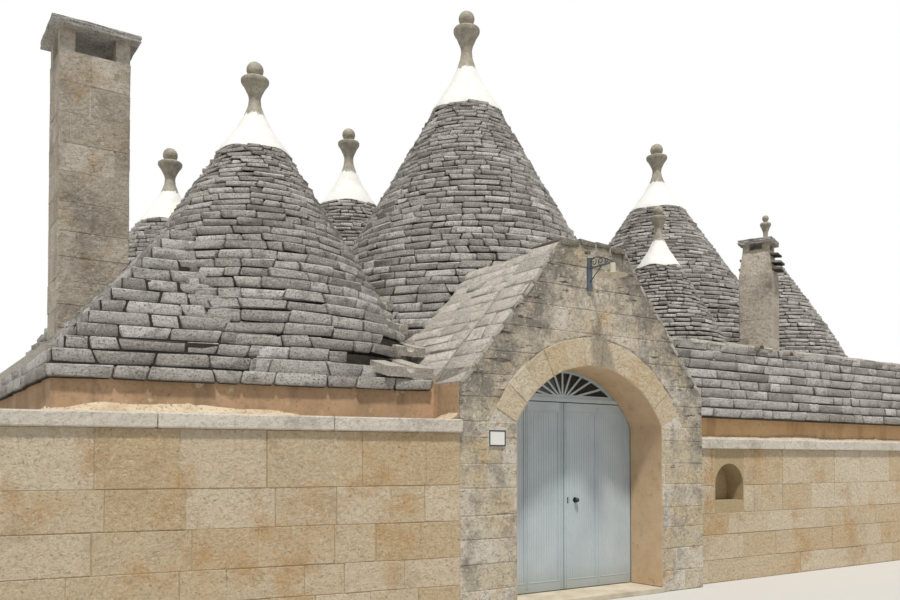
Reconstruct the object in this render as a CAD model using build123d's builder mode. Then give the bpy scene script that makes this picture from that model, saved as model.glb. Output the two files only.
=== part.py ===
# Trullo house: seven dry-stone cones over rooms with thick limestone walls, a plastered
# gable with an arched double door, low outer walls with copings, two chimneys.
# Frame: origin at ground level in the middle of the doorway, in the plane of the gable's
# face, +X to the right along that face, +Y into the house, +Z up. All sizes in mm.
import os
from math import cos, radians, sin, sqrt, tan

from build123d import *

os.makedirs("parts", exist_ok=True)

# Doorway and gable
door_half_width = 1060
door_spring = 1880
arch_rise = 637.5
gable_depth = 480
gable_half_width = 1750
gable_shoulder = 2250
gable_top = 3800
gable_top_half_width = 480
gable_top_rise = 60
saddle_drop = 40
passage_half_width = door_half_width + 85
vault_gap = 90
vault_end = 1880
saddle_end = 2600
cut_margin = 100
threshold_thickness = 50
threshold_nose = 30
floor_thickness = 40

# Outer walls: a low outer skin with a coping, and a taller inner skin behind its ledge
wall_skew = 9
left_end = -5650
right_end = 11350
skin_depth = 450
room_wall_left = -5200
left_wall_top = 1765
right_wall_top = 1640
coping_thickness = 130
coping_overhang = 50
eave = 2300
right_eave = 2050
right_wall_front = 150
right_inner_depth = 450
back_left = 8850
back_right = 6900

# Rooms, as the faces of their walls
left_room = (-4050, 1380, -1500, 3980)
main_room = (-passage_half_width, 1380, 2100, 4870)
back_left_room = (-4050, 5400, -1500, 7850)
back_room = (-700, 5400, 1700, 7850)
alcove = (2460, 1230, 3860, 2630)
right_room = (4440, 1050, 7200, 5750)
far_room = (7950, 1050, 10550, 5750)
way_width = 900
alcove_way_width = 450
corridor_end_wall = 300
rear_corner_wall = 700

# Wall niche beside the door
niche_centre = 2446
niche_width = 540
niche_sill = 1000
niche_top = 1460
niche_depth = 250

# Cones: axis, radius and height at the eave, at the knee, at the foot of the white cap,
# height of the ball, and the radius of the dome inside at the springing
cones = {
    "front_left": (-2800, 2680, 2080, 1560, 3200, 410, 5030, 6040, 1275),
    "main": (630, 3270, 2700, 1900, 4000, 484, 6520, 7910, 1450),
    "back_left": (-2700, 6480, 2350, 1450, 3800, 470, 5100, 6200, 1180),
    "back": (500, 6730, 2300, 1500, 4050, 480, 6000, 7290, 1180),
    "small": (3160, 1930, 1200, 910, 3300, 310, 4340, 5190, 690),
    "right": (5800, 4350, 2550, 1640, 4500, 495, 6190, 7380, 1390),
    "far_right": (9250, 4450, 2200, 1270, 4130, 290, 5650, 6650, 1290),
}
dome_crown_drop = 300

# Courses of the cones: height of a course at the eave and at the cap
course_at_eave = 130
course_at_cap = 80
order_of_building = ["main", "right", "front_left", "back", "back_left", "far_right", "small"]

# Courses that fill the front left corner of the house, each set in from the one below
corner_courses = 12
corner_course_step = 115

# Cap and pinnacle outline, as shares of the cap's radius and of its height to the ball
cap_curve = [(1.04, 0.0), (0.705, 0.187), (0.341, 0.424), (0.163, 0.652)]
cup_neck_share = (0.207, 0.724)
cup_rim_share = (0.386, 0.856)
cup_top_share = (0.35, 0.9)
ball_share = 0.238
ball_seat_share = 0.14

# Low pitched roof of the right wing
roof_eave_overhang = 120
roof_ridge_y = 1000
roof_ridge = 3120
roof_back_y = 2400
valley_thickness = 220

# Chimneys: axis, plan size, height of the shaft, posts, slab
left_chimney = (-4465, 3370)
left_chimney_size = (720, 600)
left_chimney_top = 5910
left_chimney_post = 150
left_chimney_opening = 240
left_slab_thickness = 75
left_slab_overhang = 100
flue_wall = 130
flue_depth = 900
right_chimney = (4590, 1250)
right_chimney_turn = 22
right_chimney_size = (460, 460)
right_chimney_foot = 2500
right_chimney_shoulder = 4260
right_chimney_top = 4630
right_chimney_neck = (370, 370)
right_chimney_post = 90
right_chimney_opening = 95
right_slab_thickness = 70
right_slab_overhang = 60

# Valley trays between the front left cone and its neighbours: middle, with its height over
# the eave, then width and length
trays = [
    ((-1540, 2650, 1460), 220, 460),
    ((-1450, 2250, 1100), 260, 460),
    ((-1500, 1850, 750), 300, 460),
    ((-1680, 1280, 420), 360, 520),
    ((-2050, 760, 150), 520, 720),
]
tray_thickness = 100
tray_groove = 55
tray_tilt = 14

# Door: frame, two leaves, fanlight, furniture
frame_depth = 75
frame_setback = 5
leaf_bottom = 60
leaf_top = 2145
leaf_thickness = 50
leaf_side_gap = 10
leaf_meeting_gap = 10
leaf_setback = 10
stile_width = 62
rail_height = 95
panel_recess = 12
hinge_inset = 3.5
hinge_back = 8.5
sleeve_radius = 7.5
pin_radius = 4
pin_clearance = 0.4
hinge_heights = [320, 1080, 1840]
hinge_length = 60
hinge_collar = 20
hinge_play = 1
strap_length = 60
strap_thickness = 6
transom_gap = 10
transom_low = leaf_top + transom_gap
transom_high = transom_low + 45
fanlight_overlap = 80
fanlight_ring = 115
fanlight_rail = 35
fanlight_setback = 12
fanlight_thickness = 50
glass_thickness = 8
knob_offset = 180
knob_radius = 27
knob_rose = 32
knob_rose_thickness = 5
knob_stem = 9
knob_reach = 62
keyhole_offset = 62
keyhole_plate_size = (34, 70)
keyhole_plate_thickness = 3
keyhole_radius = 5
handle_height = 1050

# Plaque and lamp on the gable
plaque_size = (205, 160)
plaque_thickness = 18
plaque_inset = 439
plaque_centre = (plaque_inset - gable_half_width, 1717)
lamp_x = -70
lamp_plate = (60, 350, 30)
lamp_arm_height = 3560
lamp_plate_drop = 240
lamp_plate_low = lamp_arm_height - lamp_plate_drop
lamp_arm_size = 16
lamp_reach = 365
lamp_shade_radius = 160
lamp_shade_low = lamp_arm_height - 135
lamp_shade_rise = 35
lamp_holder_radius = 30
lamp_bulb_radius = 42


def front_line(x):
    """Y of the outer face of the left front wall, which turns back from the gable's face."""
    return -(x + gable_half_width) * tan(radians(wall_skew))


skin_step = skin_depth / cos(radians(wall_skew))
alcove_front = right_wall_front + skin_depth + right_inner_depth


def rectangle(x1, y1, x2, y2):
    return [(x1, y1), (x2, y1), (x2, y2), (x1, y2)]


def wall(label, outlines, low, high):
    """Upright masonry over one or more ground outlines, between two heights."""
    with BuildPart() as piece:
        for outline in outlines:
            with BuildSketch(Plane.XY.offset(low)):
                Polygon(*outline, align=None)
            extrude(amount=high - low)
    piece.part.label = label
    return piece.part


def cone_radius(name, height):
    """Outer radius of a cone's stone face at a height."""
    _, _, eave_r, knee_r, knee_z, cap_r, cap_z, _, _ = cones[name]
    if height < knee_z:
        return eave_r + (knee_r - eave_r) * (height - eave) / (knee_z - eave)
    return knee_r + (cap_r - knee_r) * (height - knee_z) / (cap_z - knee_z)


def course_levels(name):
    """Heights of the beds between the courses of a cone, which get thinner upwards."""
    cap_z = cones[name][6]
    levels = [eave]
    while levels[-1] < cap_z:
        share = (levels[-1] - eave) / (cap_z - eave)
        levels.append(levels[-1] + course_at_eave + (course_at_cap - course_at_eave) * share)
    stretch = (cap_z - eave) / (levels[-1] - eave)
    return [eave + (level - eave) * stretch for level in levels]


def cone_body(name):
    """The full outer form of a cone in its stepped courses, from the eave to its cap."""
    x, y = cones[name][:2]
    levels = course_levels(name)
    steps = [(x, levels[0])]
    for low, high in zip(levels, levels[1:]):
        radius = cone_radius(name, (low + high) / 2)
        steps += [(x + radius, low), (x + radius, high)]
    with BuildPart() as body:
        with BuildSketch(Plane.XZ.offset(-y)):
            with BuildLine():
                Polyline(*steps, (x, levels[-1]), close=True)
            make_face()
        revolve(axis=Axis((x, y, 0), (0, 0, 1)))
    return body.part


def dome_hollow(name):
    """The space of the corbelled dome inside a cone."""
    x, y, _, _, _, _, cap_z, _, dome_r = cones[name]
    with BuildPart() as hollow:
        with BuildSketch(Plane.XZ.offset(-y)):
            with BuildLine():
                Polyline((x, eave), (x + dome_r, eave), (x, cap_z - dome_crown_drop), close=True)
            make_face()
        revolve(axis=Axis((x, y, 0), (0, 0, 1)))
    return hollow.part


def save(part, name):
    part.label = name
    export_step(part, f"parts/{name}.step")


# Arch of the doorway: its centre lies on the door's middle line, below the springing
arch_radius = (door_half_width**2 + arch_rise**2) / (2 * arch_rise)
arch_centre = door_spring + arch_rise - arch_radius
vault_radius = arch_radius + vault_gap
fanlight_radius = arch_radius + fanlight_overlap


def arched_prism(radius, half_width, y1, y2, low):
    """A round-headed opening through the front, as a solid to cut with."""
    with BuildPart() as prism:
        with BuildSketch(Plane.XZ.offset(-y1)):
            spring = arch_centre + sqrt(radius**2 - half_width**2)
            with BuildLine():
                Polyline((-half_width, spring), (-half_width, low),
                         (half_width, low), (half_width, spring))
                ThreePointArc((half_width, spring), (0, arch_centre + radius),
                              (-half_width, spring))
            make_face()
        extrude(amount=-(y2 - y1))
    return prism.part


doorway = arched_prism(arch_radius, door_half_width, -cut_margin, gable_depth + cut_margin,
                       -cut_margin)
vault = arched_prism(vault_radius, passage_half_width, gable_depth, vault_end, -cut_margin)

# Gable: two piers and the head over the arch
save(wall("pier", [rectangle(-gable_half_width, 0, -door_half_width, gable_depth)],
          0, door_spring), "gable_left_pier")
save(wall("pier", [rectangle(door_half_width, 0, gable_half_width, gable_depth)],
          0, door_spring), "gable_right_pier")


def gable_prism(y1, y2, low, drop):
    """The gable's form above a height: upright sides, straight slopes, a low round top."""
    with BuildPart() as prism:
        with BuildSketch(Plane.XZ.offset(-y1)):
            with BuildLine():
                Polyline((-gable_top_half_width, gable_top - drop),
                         (-gable_half_width, max(low, gable_shoulder - drop)),
                         (-gable_half_width, low - 1),
                         (gable_half_width, low - 1),
                         (gable_half_width, max(low, gable_shoulder - drop)),
                         (gable_top_half_width, gable_top - drop))
                ThreePointArc((gable_top_half_width, gable_top - drop),
                              (0, gable_top + gable_top_rise - drop),
                              (-gable_top_half_width, gable_top - drop))
            make_face()
        extrude(amount=-(y2 - y1))
        split(bisect_by=Plane.XY.offset(low), keep=Keep.TOP)
    return prism.part


with BuildPart() as gable_head:
    add(gable_prism(0, gable_depth, door_spring, 0))
    add(doorway, mode=Mode.SUBTRACT)
save(gable_head.part, "gable_arch_head")

# Cones: the main one stands whole, and each later one leans on those before it
bodies = {name: cone_body(name) for name in order_of_building}


def largest(part):
    """The one solid that is the real piece, without offcuts behind a neighbour."""
    return part.solids().sort_by(SortBy.VOLUME)[-1]


with BuildPart() as saddle:
    add(gable_prism(gable_depth, saddle_end, eave, saddle_drop))
    add(bodies["main"], mode=Mode.SUBTRACT)
    add(vault, mode=Mode.SUBTRACT)
saddle_roof = largest(saddle.part)
save(saddle_roof, "gable_saddle_roof")


def shaft(centre, size, turn, low, high):
    """Upright block of a chimney, turned about its axis."""
    with BuildPart() as block:
        with BuildSketch(Plane.XY.offset(low)):
            with Locations(Location((*centre, 0), (0, 0, turn))):
                Rectangle(*size)
        extrude(amount=high - low)
    return block.part


left_cut = shaft(left_chimney, left_chimney_size, 0, 0, left_chimney_top)
right_cut = shaft(right_chimney, right_chimney_size, right_chimney_turn, right_chimney_foot,
                  right_chimney_top)

for position, name in enumerate(order_of_building):
    with BuildPart() as shell:
        add(bodies[name])
        add(dome_hollow(name), mode=Mode.SUBTRACT)
        for earlier in order_of_building[:position]:
            add(bodies[earlier], mode=Mode.SUBTRACT)
        if name == "main":
            add(vault, mode=Mode.SUBTRACT)
        if name == "front_left":
            add(left_cut, mode=Mode.SUBTRACT)
            add(saddle_roof, mode=Mode.SUBTRACT)
        if name == "small":
            add(right_cut, mode=Mode.SUBTRACT)
    save(largest(shell.part), f"{name}_cone")


def finial(name):
    """White plaster cap, narrow neck, flared cup and ball of one cone."""
    x, y, _, _, _, cap_r, cap_z, ball_z, _ = cones[name]
    rise = ball_z - cap_z
    ball_r = ball_share * cap_r
    seat_r = ball_seat_share * cap_r
    seat_z = ball_z - sqrt(ball_r**2 - seat_r**2)
    neck = (x + cup_neck_share[0] * cap_r, cap_z + cup_neck_share[1] * rise)
    rim = (x + cup_rim_share[0] * cap_r, cap_z + cup_rim_share[1] * rise)
    top = (x + cup_top_share[0] * cap_r, cap_z + cup_top_share[1] * rise)
    curve = [(x + share * cap_r, cap_z + h * rise) for share, h in cap_curve]
    with BuildPart() as piece:
        with BuildSketch(Plane.XZ.offset(-y)):
            with BuildLine():
                Spline(*curve)
                Polyline(curve[-1], neck, rim, top, (x + seat_r, seat_z))
                ThreePointArc((x + seat_r, seat_z), (x + ball_r, ball_z), (x, ball_z + ball_r))
                Polyline((x, ball_z + ball_r), (x, cap_z), curve[0])
            make_face()
        revolve(axis=Axis((x, y, 0), (0, 0, 1)))
    return piece.part


for name in cones:
    save(finial(name), f"{name}_pinnacle")

# Left outer wall: low skin along the front and the left side, and its coping
over = coping_overhang
left_coping_top = left_wall_top + coping_thickness
right_coping_top = right_wall_top + coping_thickness
corner_y = front_line(room_wall_left) + skin_step
save(wall("skin", [[
    (-gable_half_width, 0), (-gable_half_width, skin_step), (room_wall_left, corner_y),
    (left_end, front_line(left_end) + skin_step), (left_end, front_line(left_end)),
]], 0, left_wall_top), "left_front_wall")
save(wall("skin", [[
    (left_end, front_line(left_end) + skin_step), (room_wall_left, corner_y),
    (room_wall_left, back_left), (left_end, back_left),
]], 0, left_wall_top), "left_side_wall")
save(wall("coping", [[
    (-gable_half_width, -over), (-gable_half_width, skin_step), (room_wall_left, corner_y),
    (left_end - over, front_line(left_end - over) + skin_step),
    (left_end - over, front_line(left_end - over) - over),
]], left_wall_top, left_coping_top), "left_front_coping")
save(wall("coping", [[
    (left_end - over, front_line(left_end - over) + skin_step), (room_wall_left, corner_y),
    (room_wall_left, back_left), (left_end - over, back_left),
]], left_wall_top, left_coping_top), "left_side_coping")

# Room walls up to the eave: outlines fill all that is not room
lx1, ly1, lx2, ly2 = left_room
mx1, my1, mx2, my2 = main_room
_, by1, bx2, by2 = back_left_room
kx1, ky1, kx2, ky2 = back_room
ax1, ay1, ax2, ay2 = alcove
rx1, ry1, rx2, ry2 = right_room
fx1, _, fx2, _ = far_room
half_way = way_width / 2
left_way = (ly1 + ly2) / 2
cross_way = (lx1 + lx2) / 2
rear_way = (by1 + by2) / 2
back_way = (kx1 + kx2) / 2
alcove_way = (ay1 + ay2) / 2
right_way = (ry1 + ry2) / 2
corridor_way = my2 - half_way - corridor_end_wall
rear_corner = kx2 + rear_corner_wall

save(wall("inner", [[
    (-gable_half_width, skin_step), (-gable_half_width, ly1), (room_wall_left, ly1),
    (room_wall_left, corner_y),
]], 0, eave), "left_room_front_wall")
save(wall("inner", [rectangle(room_wall_left, ly1, lx1, back_left)], 0, eave),
     "left_room_side_wall")
save(wall("inner", [rectangle(lx1, by2, rear_corner, back_left)], 0, eave), "rear_wall_left")
save(wall("inner", [
    rectangle(lx1, ly2, cross_way - half_way, by1),
    rectangle(cross_way + half_way, ly2, mx1, by1),
], 0, eave), "left_cross_wall")
save(wall("inner", [
    rectangle(lx2, ly1, mx1, left_way - half_way),
    rectangle(lx2, left_way + half_way, mx1, ly2),
    rectangle(bx2, by1, kx1, rear_way - half_way),
    rectangle(bx2, rear_way + half_way, kx1, by2),
], 0, eave), "left_partition_walls")
save(wall("inner", [
    rectangle(mx1, my2, back_way - half_way, ky1),
    rectangle(back_way + half_way, my2, rear_corner, ky1),
    rectangle(kx2, ky1, rear_corner, ky2),
], 0, eave), "back_room_wall")
passage_walls = wall("inner", [
    rectangle(-gable_half_width, gable_depth, -passage_half_width, my1),
    rectangle(passage_half_width, gable_depth, gable_half_width, my1),
], 0, eave)
save(passage_walls, "passage_walls")

# Right side: alcove under the small cone, two rooms behind, ends and rear
save(wall("inner", [
    [(gable_half_width, alcove_front), (rx1, alcove_front), (rx1, ay1),
     (ax1, ay1), (ax1, my1), (gable_half_width, my1)],
], 0, eave), "alcove_front_wall")
save(wall("inner", [
    rectangle(mx2, my1, ax1, alcove_way - alcove_way_width / 2),
    rectangle(mx2, alcove_way + alcove_way_width / 2, ax1, corridor_way - half_way),
    rectangle(ax1, ay2, rx1, corridor_way - half_way),
    rectangle(ax2, ay1, rx1, ay2),
], 0, eave), "alcove_wall")
save(wall("inner", [[
    (mx2, corridor_way + half_way), (rx1, corridor_way + half_way), (rx1, back_right),
    (rear_corner, back_right), (rear_corner, my2), (mx2, my2),
]], 0, eave), "right_rear_corner_wall")
save(wall("inner", [
    rectangle(rx2, ry1, fx1, right_way - half_way),
    rectangle(rx2, right_way + half_way, fx1, ry2),
], 0, eave), "right_partition_wall")
save(wall("inner", [rectangle(rx1, ry2, right_end, back_right)], 0, eave), "rear_wall_right")
save(wall("inner", [rectangle(fx2, ry1, right_end, ry2)], 0, eave), "right_end_wall")

# Right outer wall with its arched niche, its coping and the inner skin behind the ledge
niche_spring = niche_top - niche_width / 2
with BuildPart() as right_wall:
    with BuildSketch():
        Polygon(*rectangle(gable_half_width, right_wall_front, right_end,
                           right_wall_front + skin_depth), align=None)
    extrude(amount=right_wall_top)
    with BuildSketch(Plane.XZ.offset(-right_wall_front)):
        with BuildLine():
            Polyline((niche_centre - niche_width / 2, niche_spring),
                     (niche_centre - niche_width / 2, niche_sill),
                     (niche_centre + niche_width / 2, niche_sill),
                     (niche_centre + niche_width / 2, niche_spring))
            ThreePointArc((niche_centre + niche_width / 2, niche_spring),
                          (niche_centre, niche_top),
                          (niche_centre - niche_width / 2, niche_spring))
        make_face()
    extrude(amount=-niche_depth, mode=Mode.SUBTRACT)
save(right_wall.part, "right_front_wall")
skin_back = right_wall_front + skin_depth
save(wall("coping", [rectangle(gable_half_width, right_wall_front - over,
                               right_end + over, skin_back)],
          right_wall_top, right_coping_top), "right_front_coping")
save(wall("inner", [rectangle(gable_half_width, skin_back, right_end, alcove_front)],
          0, right_eave), "right_room_front_wall")

# Pitched stone roof of the right wing, and the stone floor of the valleys between cones
with BuildPart() as right_roof:
    with BuildSketch(Plane.YZ.offset(door_half_width)):
        with BuildLine():
            Polyline((skin_back - roof_eave_overhang, right_eave), (roof_ridge_y, roof_ridge),
                     (roof_back_y, eave), (alcove_front, eave), (alcove_front, right_eave),
                     close=True)
        make_face()
    extrude(amount=right_end - door_half_width)
    for name in ["main", "small", "right", "far_right"]:
        add(bodies[name], mode=Mode.SUBTRACT)
    add(saddle_roof, mode=Mode.SUBTRACT)
    add(wall("cut", [rectangle(0, 0, gable_half_width, my1)], 0, eave), mode=Mode.SUBTRACT)
    add(right_cut, mode=Mode.SUBTRACT)
save(largest(right_roof.part), "right_roof")

# Courses over the front left corner, from the eave up to where the cone's face takes over
right, middle_y = cones["front_left"][:2]
with BuildPart() as corner:
    for course in range(corner_courses):
        inset = course * corner_course_step
        left = room_wall_left + inset
        front = skin_step + inset
        with BuildSketch(Plane.XY.offset(eave + course * course_at_eave)):
            Polygon((left, front_line(left) + front), (right, front_line(right) + front),
                    (right, middle_y), (right, 2 * middle_y - corner_y - inset),
                    (left, 2 * middle_y - corner_y - inset), align=None)
        extrude(amount=course_at_eave)
    add(bodies["front_left"], mode=Mode.SUBTRACT)
    add(left_cut, mode=Mode.SUBTRACT)
corner_roof = largest(corner.part)
save(corner_roof, "left_corner_courses")

with BuildPart() as valleys:
    with BuildSketch(Plane.XY.offset(eave)):
        Polygon(*rectangle(room_wall_left, ly1, rear_corner, back_left), align=None)
        Polygon(*rectangle(mx2, roof_back_y, right_end, back_right), align=None)
    extrude(amount=valley_thickness)
    for name in order_of_building:
        add(bodies[name], mode=Mode.SUBTRACT)
    add(left_cut, mode=Mode.SUBTRACT)
    add(saddle_roof, mode=Mode.SUBTRACT)
    add(corner_roof, mode=Mode.SUBTRACT)
save(valleys.part, "roof_valleys")


def chimney(centre, size, turn, low, top, post, opening, slab, overhang, neck, shoulder):
    """Shaft with its flue, four corner posts and a covering slab."""
    place = Location((*centre, 0), (0, 0, turn))
    with BuildPart() as stack:
        add(shaft(centre, size, turn, low, shoulder))
        if shoulder < top:
            with BuildSketch(Plane.XY.offset(shoulder)):
                with Locations(place):
                    Rectangle(*size)
            with BuildSketch(Plane.XY.offset(top)):
                with Locations(place):
                    Rectangle(*neck)
            loft()
        with BuildSketch(Plane.XY.offset(top)):
            with Locations(place):
                with GridLocations(neck[0] - post, neck[1] - post, 2, 2):
                    Rectangle(post, post)
        extrude(amount=opening)
        with BuildSketch(Plane.XY.offset(top)):
            with Locations(place):
                Rectangle(neck[0] - 2 * flue_wall, neck[1] - 2 * flue_wall)
        extrude(amount=-flue_depth, mode=Mode.SUBTRACT)
    cover = shaft(centre, (neck[0] + 2 * overhang, neck[1] + 2 * overhang), turn, top + opening,
                  top + opening + slab)
    return stack.part, cover


left_stack, left_slab = chimney(
    left_chimney, left_chimney_size, 0, eave, left_chimney_top, left_chimney_post,
    left_chimney_opening, left_slab_thickness, left_slab_overhang, left_chimney_size,
    left_chimney_top)
save(left_stack, "left_chimney")
save(left_slab, "left_chimney_slab")
right_stack, right_slab = chimney(
    right_chimney, right_chimney_size, right_chimney_turn, right_chimney_foot,
    right_chimney_top, right_chimney_post, right_chimney_opening, right_slab_thickness,
    right_slab_overhang, right_chimney_neck, right_chimney_shoulder)
save(right_stack, "right_chimney")
save(right_slab, "right_chimney_slab")


def tray(middle, width, length):
    """One grooved stone of the valley, set between the cones and cut to them."""
    x, y, rise = middle
    lean = radians(tray_tilt)
    tilted = Plane((x, y, eave + rise), x_dir=(1, 0, 0), z_dir=(0, -cos(lean), -sin(lean)))
    with BuildPart() as piece:
        with BuildSketch(tilted):
            Rectangle(width, tray_thickness)
            with Locations((0, tray_thickness / 2)):
                Circle(tray_groove, mode=Mode.SUBTRACT)
        extrude(amount=length / 2, both=True)
        for name in ["main", "front_left"]:
            add(bodies[name], mode=Mode.SUBTRACT)
        add(saddle_roof, mode=Mode.SUBTRACT)
        add(passage_walls, mode=Mode.SUBTRACT)
    return largest(piece.part)


save(Compound(children=[tray(*sizes) for sizes in trays]), "valley_gutter")

# Floor of the passage and the main room, and the threshold in the doorway
frame_back = gable_depth + frame_depth
save(wall("floor", [
    rectangle(mx1, my1, mx2, my2),
    rectangle(-passage_half_width, frame_back, passage_half_width, my1),
], 0, floor_thickness), "main_room_floor")
save(wall("threshold", [rectangle(-door_half_width, -threshold_nose, door_half_width,
                                  frame_back)], 0, threshold_thickness), "threshold")

# Door frame: two posts that carry the hinge pins, and the transom under the fanlight
post_face = door_half_width + frame_setback
leaf_back = gable_depth + leaf_setback + leaf_thickness
hinge_x = door_half_width - hinge_inset
hinge_y = leaf_back + hinge_back
with BuildPart() as posts:
    for side in [-1, 1]:
        with BuildSketch():
            Polygon(*rectangle(side * post_face, gable_depth,
                               side * passage_half_width, frame_back), align=None)
        extrude(amount=transom_high)
        for height in hinge_heights:
            low = height - hinge_collar - hinge_play
            with BuildSketch(Plane.XY.offset(low)):
                with Locations((side * hinge_x, hinge_y)):
                    Circle(sleeve_radius)
                Polygon(*rectangle(side * hinge_x, hinge_y - pin_radius,
                                   side * (post_face + frame_setback), hinge_y + pin_radius),
                        align=None)
            extrude(amount=hinge_collar)
            with BuildSketch(Plane.XY.offset(low)):
                with Locations((side * hinge_x, hinge_y)):
                    Circle(pin_radius)
            extrude(amount=hinge_collar + hinge_play + hinge_length)
save(posts.part, "door_posts")
save(wall("transom", [rectangle(-post_face, gable_depth, post_face, frame_back)],
          transom_low, transom_high), "door_transom")


def leaf(side):
    """One door leaf: stiles, rails and two sunk panels, with its hinge sleeves behind."""
    outer = side * (door_half_width - leaf_side_gap)
    inner = side * leaf_meeting_gap / 2
    front = gable_depth + leaf_setback
    width = abs(outer - inner)
    panel_width = (width - 3 * stile_width) / 2
    panel_low = leaf_bottom + rail_height
    panel_high = leaf_top - rail_height
    with BuildPart() as piece:
        with BuildSketch(Plane.XY.offset(leaf_bottom)):
            Polygon(*rectangle(inner, front, outer, leaf_back), align=None)
        extrude(amount=leaf_top - leaf_bottom)
        with BuildSketch(Plane.XZ.offset(-front)):
            with Locations(((outer + inner) / 2, (panel_low + panel_high) / 2)):
                with GridLocations(panel_width + stile_width, 1, 2, 1):
                    Rectangle(panel_width, panel_high - panel_low)
        extrude(amount=-panel_recess, mode=Mode.SUBTRACT)
        for height in hinge_heights:
            with BuildSketch(Plane.XY.offset(height)):
                with Locations((side * hinge_x, hinge_y)):
                    Circle(sleeve_radius)
                Polygon(*rectangle(side * hinge_x, leaf_back,
                                   side * (hinge_x - strap_length), leaf_back + strap_thickness),
                        align=None)
                with Locations((side * hinge_x, hinge_y)):
                    Circle(pin_radius + pin_clearance, mode=Mode.SUBTRACT)
            extrude(amount=hinge_length)
    return piece.part


save(leaf(-1), "left_leaf")
save(leaf(1), "right_leaf")

# Knob and keyhole plate on the right leaf
panel_face = gable_depth + leaf_setback + panel_recess
with BuildPart() as knob:
    with BuildSketch(Plane.XY.offset(handle_height)):
        ball_back = panel_face - knob_reach + 2 * knob_radius
        with BuildLine():
            Polyline((knob_offset, panel_face), (knob_offset + knob_rose, panel_face),
                     (knob_offset + knob_rose, panel_face - knob_rose_thickness),
                     (knob_offset + knob_stem, panel_face - knob_rose_thickness),
                     (knob_offset + knob_stem, panel_face - knob_reach + knob_radius
                      + sqrt(knob_radius**2 - knob_stem**2)))
            ThreePointArc((knob_offset + knob_stem, panel_face - knob_reach + knob_radius
                           + sqrt(knob_radius**2 - knob_stem**2)),
                          (knob_offset + knob_radius, panel_face - knob_reach + knob_radius),
                          (knob_offset, panel_face - knob_reach))
            Line((knob_offset, panel_face - knob_reach), (knob_offset, panel_face))
        make_face()
    revolve(axis=Axis((knob_offset, 0, handle_height), (0, 1, 0)))
save(knob.part, "door_knob")
with BuildPart() as keyhole_plate:
    with BuildSketch(Plane.XZ.offset(-gable_depth - leaf_setback)):
        with Locations((keyhole_offset, handle_height)):
            Rectangle(*keyhole_plate_size)
            Circle(keyhole_radius, mode=Mode.SUBTRACT)
    extrude(amount=keyhole_plate_thickness)
save(keyhole_plate.part, "keyhole_plate")

# Fanlight over the transom: half-round frame and its pane
ring_front = gable_depth + fanlight_setback
with BuildPart() as fanlight:
    with BuildSketch(Plane.XZ.offset(-ring_front)):
        with Locations((0, arch_centre)):
            Circle(fanlight_radius)
            Circle(fanlight_radius - fanlight_ring, mode=Mode.SUBTRACT)
        with Locations((0, transom_high + fanlight_rail / 2)):
            Rectangle(2 * sqrt(fanlight_radius**2 - (transom_high - arch_centre)**2),
                      fanlight_rail)
        with Locations((0, transom_high - fanlight_radius)):
            Rectangle(3 * fanlight_radius, 2 * fanlight_radius, mode=Mode.SUBTRACT)
    extrude(amount=-fanlight_thickness)
save(fanlight.part, "fanlight_frame")
pane_low = transom_high + fanlight_rail
with BuildPart() as pane:
    with BuildSketch(Plane.XZ.offset(-ring_front - (fanlight_thickness - glass_thickness) / 2)):
        with Locations((0, arch_centre)):
            Circle(fanlight_radius - fanlight_ring)
        with Locations((0, pane_low - fanlight_radius)):
            Rectangle(3 * fanlight_radius, 2 * fanlight_radius, mode=Mode.SUBTRACT)
    extrude(amount=-glass_thickness)
save(pane.part, "fanlight_glass")

# Plaque on the left pier, and the lamp high on the gable
with BuildPart() as plaque:
    with BuildSketch(Plane.XZ):
        with Locations(plaque_centre):
            Rectangle(*plaque_size)
    extrude(amount=plaque_thickness)
save(plaque.part, "house_number_plaque")
with BuildPart() as bracket:
    with BuildSketch(Plane.XZ):
        with Locations((lamp_x, lamp_plate_low + lamp_plate[1] / 2)):
            Rectangle(lamp_plate[0], lamp_plate[1])
    extrude(amount=lamp_plate[2])
    with BuildSketch(Plane.XZ):
        with Locations((lamp_x, lamp_arm_height)):
            Rectangle(lamp_arm_size, lamp_arm_size)
    extrude(amount=lamp_reach + lamp_arm_size / 2)
save(bracket.part, "lamp_bracket")
with BuildPart() as lamp:
    with BuildSketch(Plane.YZ.offset(lamp_x)):
        shade_high = lamp_shade_low + lamp_shade_rise
        arm_low = lamp_arm_height - lamp_arm_size / 2
        with BuildLine():
            Polyline((-lamp_reach, arm_low), (-lamp_reach + lamp_holder_radius, arm_low),
                     (-lamp_reach + lamp_holder_radius, shade_high),
                     (-lamp_reach + lamp_shade_radius, lamp_shade_low),
                     (-lamp_reach + lamp_bulb_radius, lamp_shade_low))
            ThreePointArc((-lamp_reach + lamp_bulb_radius, lamp_shade_low),
                          (-lamp_reach + lamp_bulb_radius * sin(radians(45)),
                           lamp_shade_low - lamp_bulb_radius * sin(radians(45))),
                          (-lamp_reach, lamp_shade_low - lamp_bulb_radius))
            Line((-lamp_reach, lamp_shade_low - lamp_bulb_radius), (-lamp_reach, arm_low))
        make_face()
    revolve(axis=Axis((lamp_x, -lamp_reach, 0), (0, 0, 1)))
save(lamp.part, "lamp_shade")
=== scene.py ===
import math
import random

import bmesh
import bpy
import numpy
from mathutils import Matrix, Vector


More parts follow.
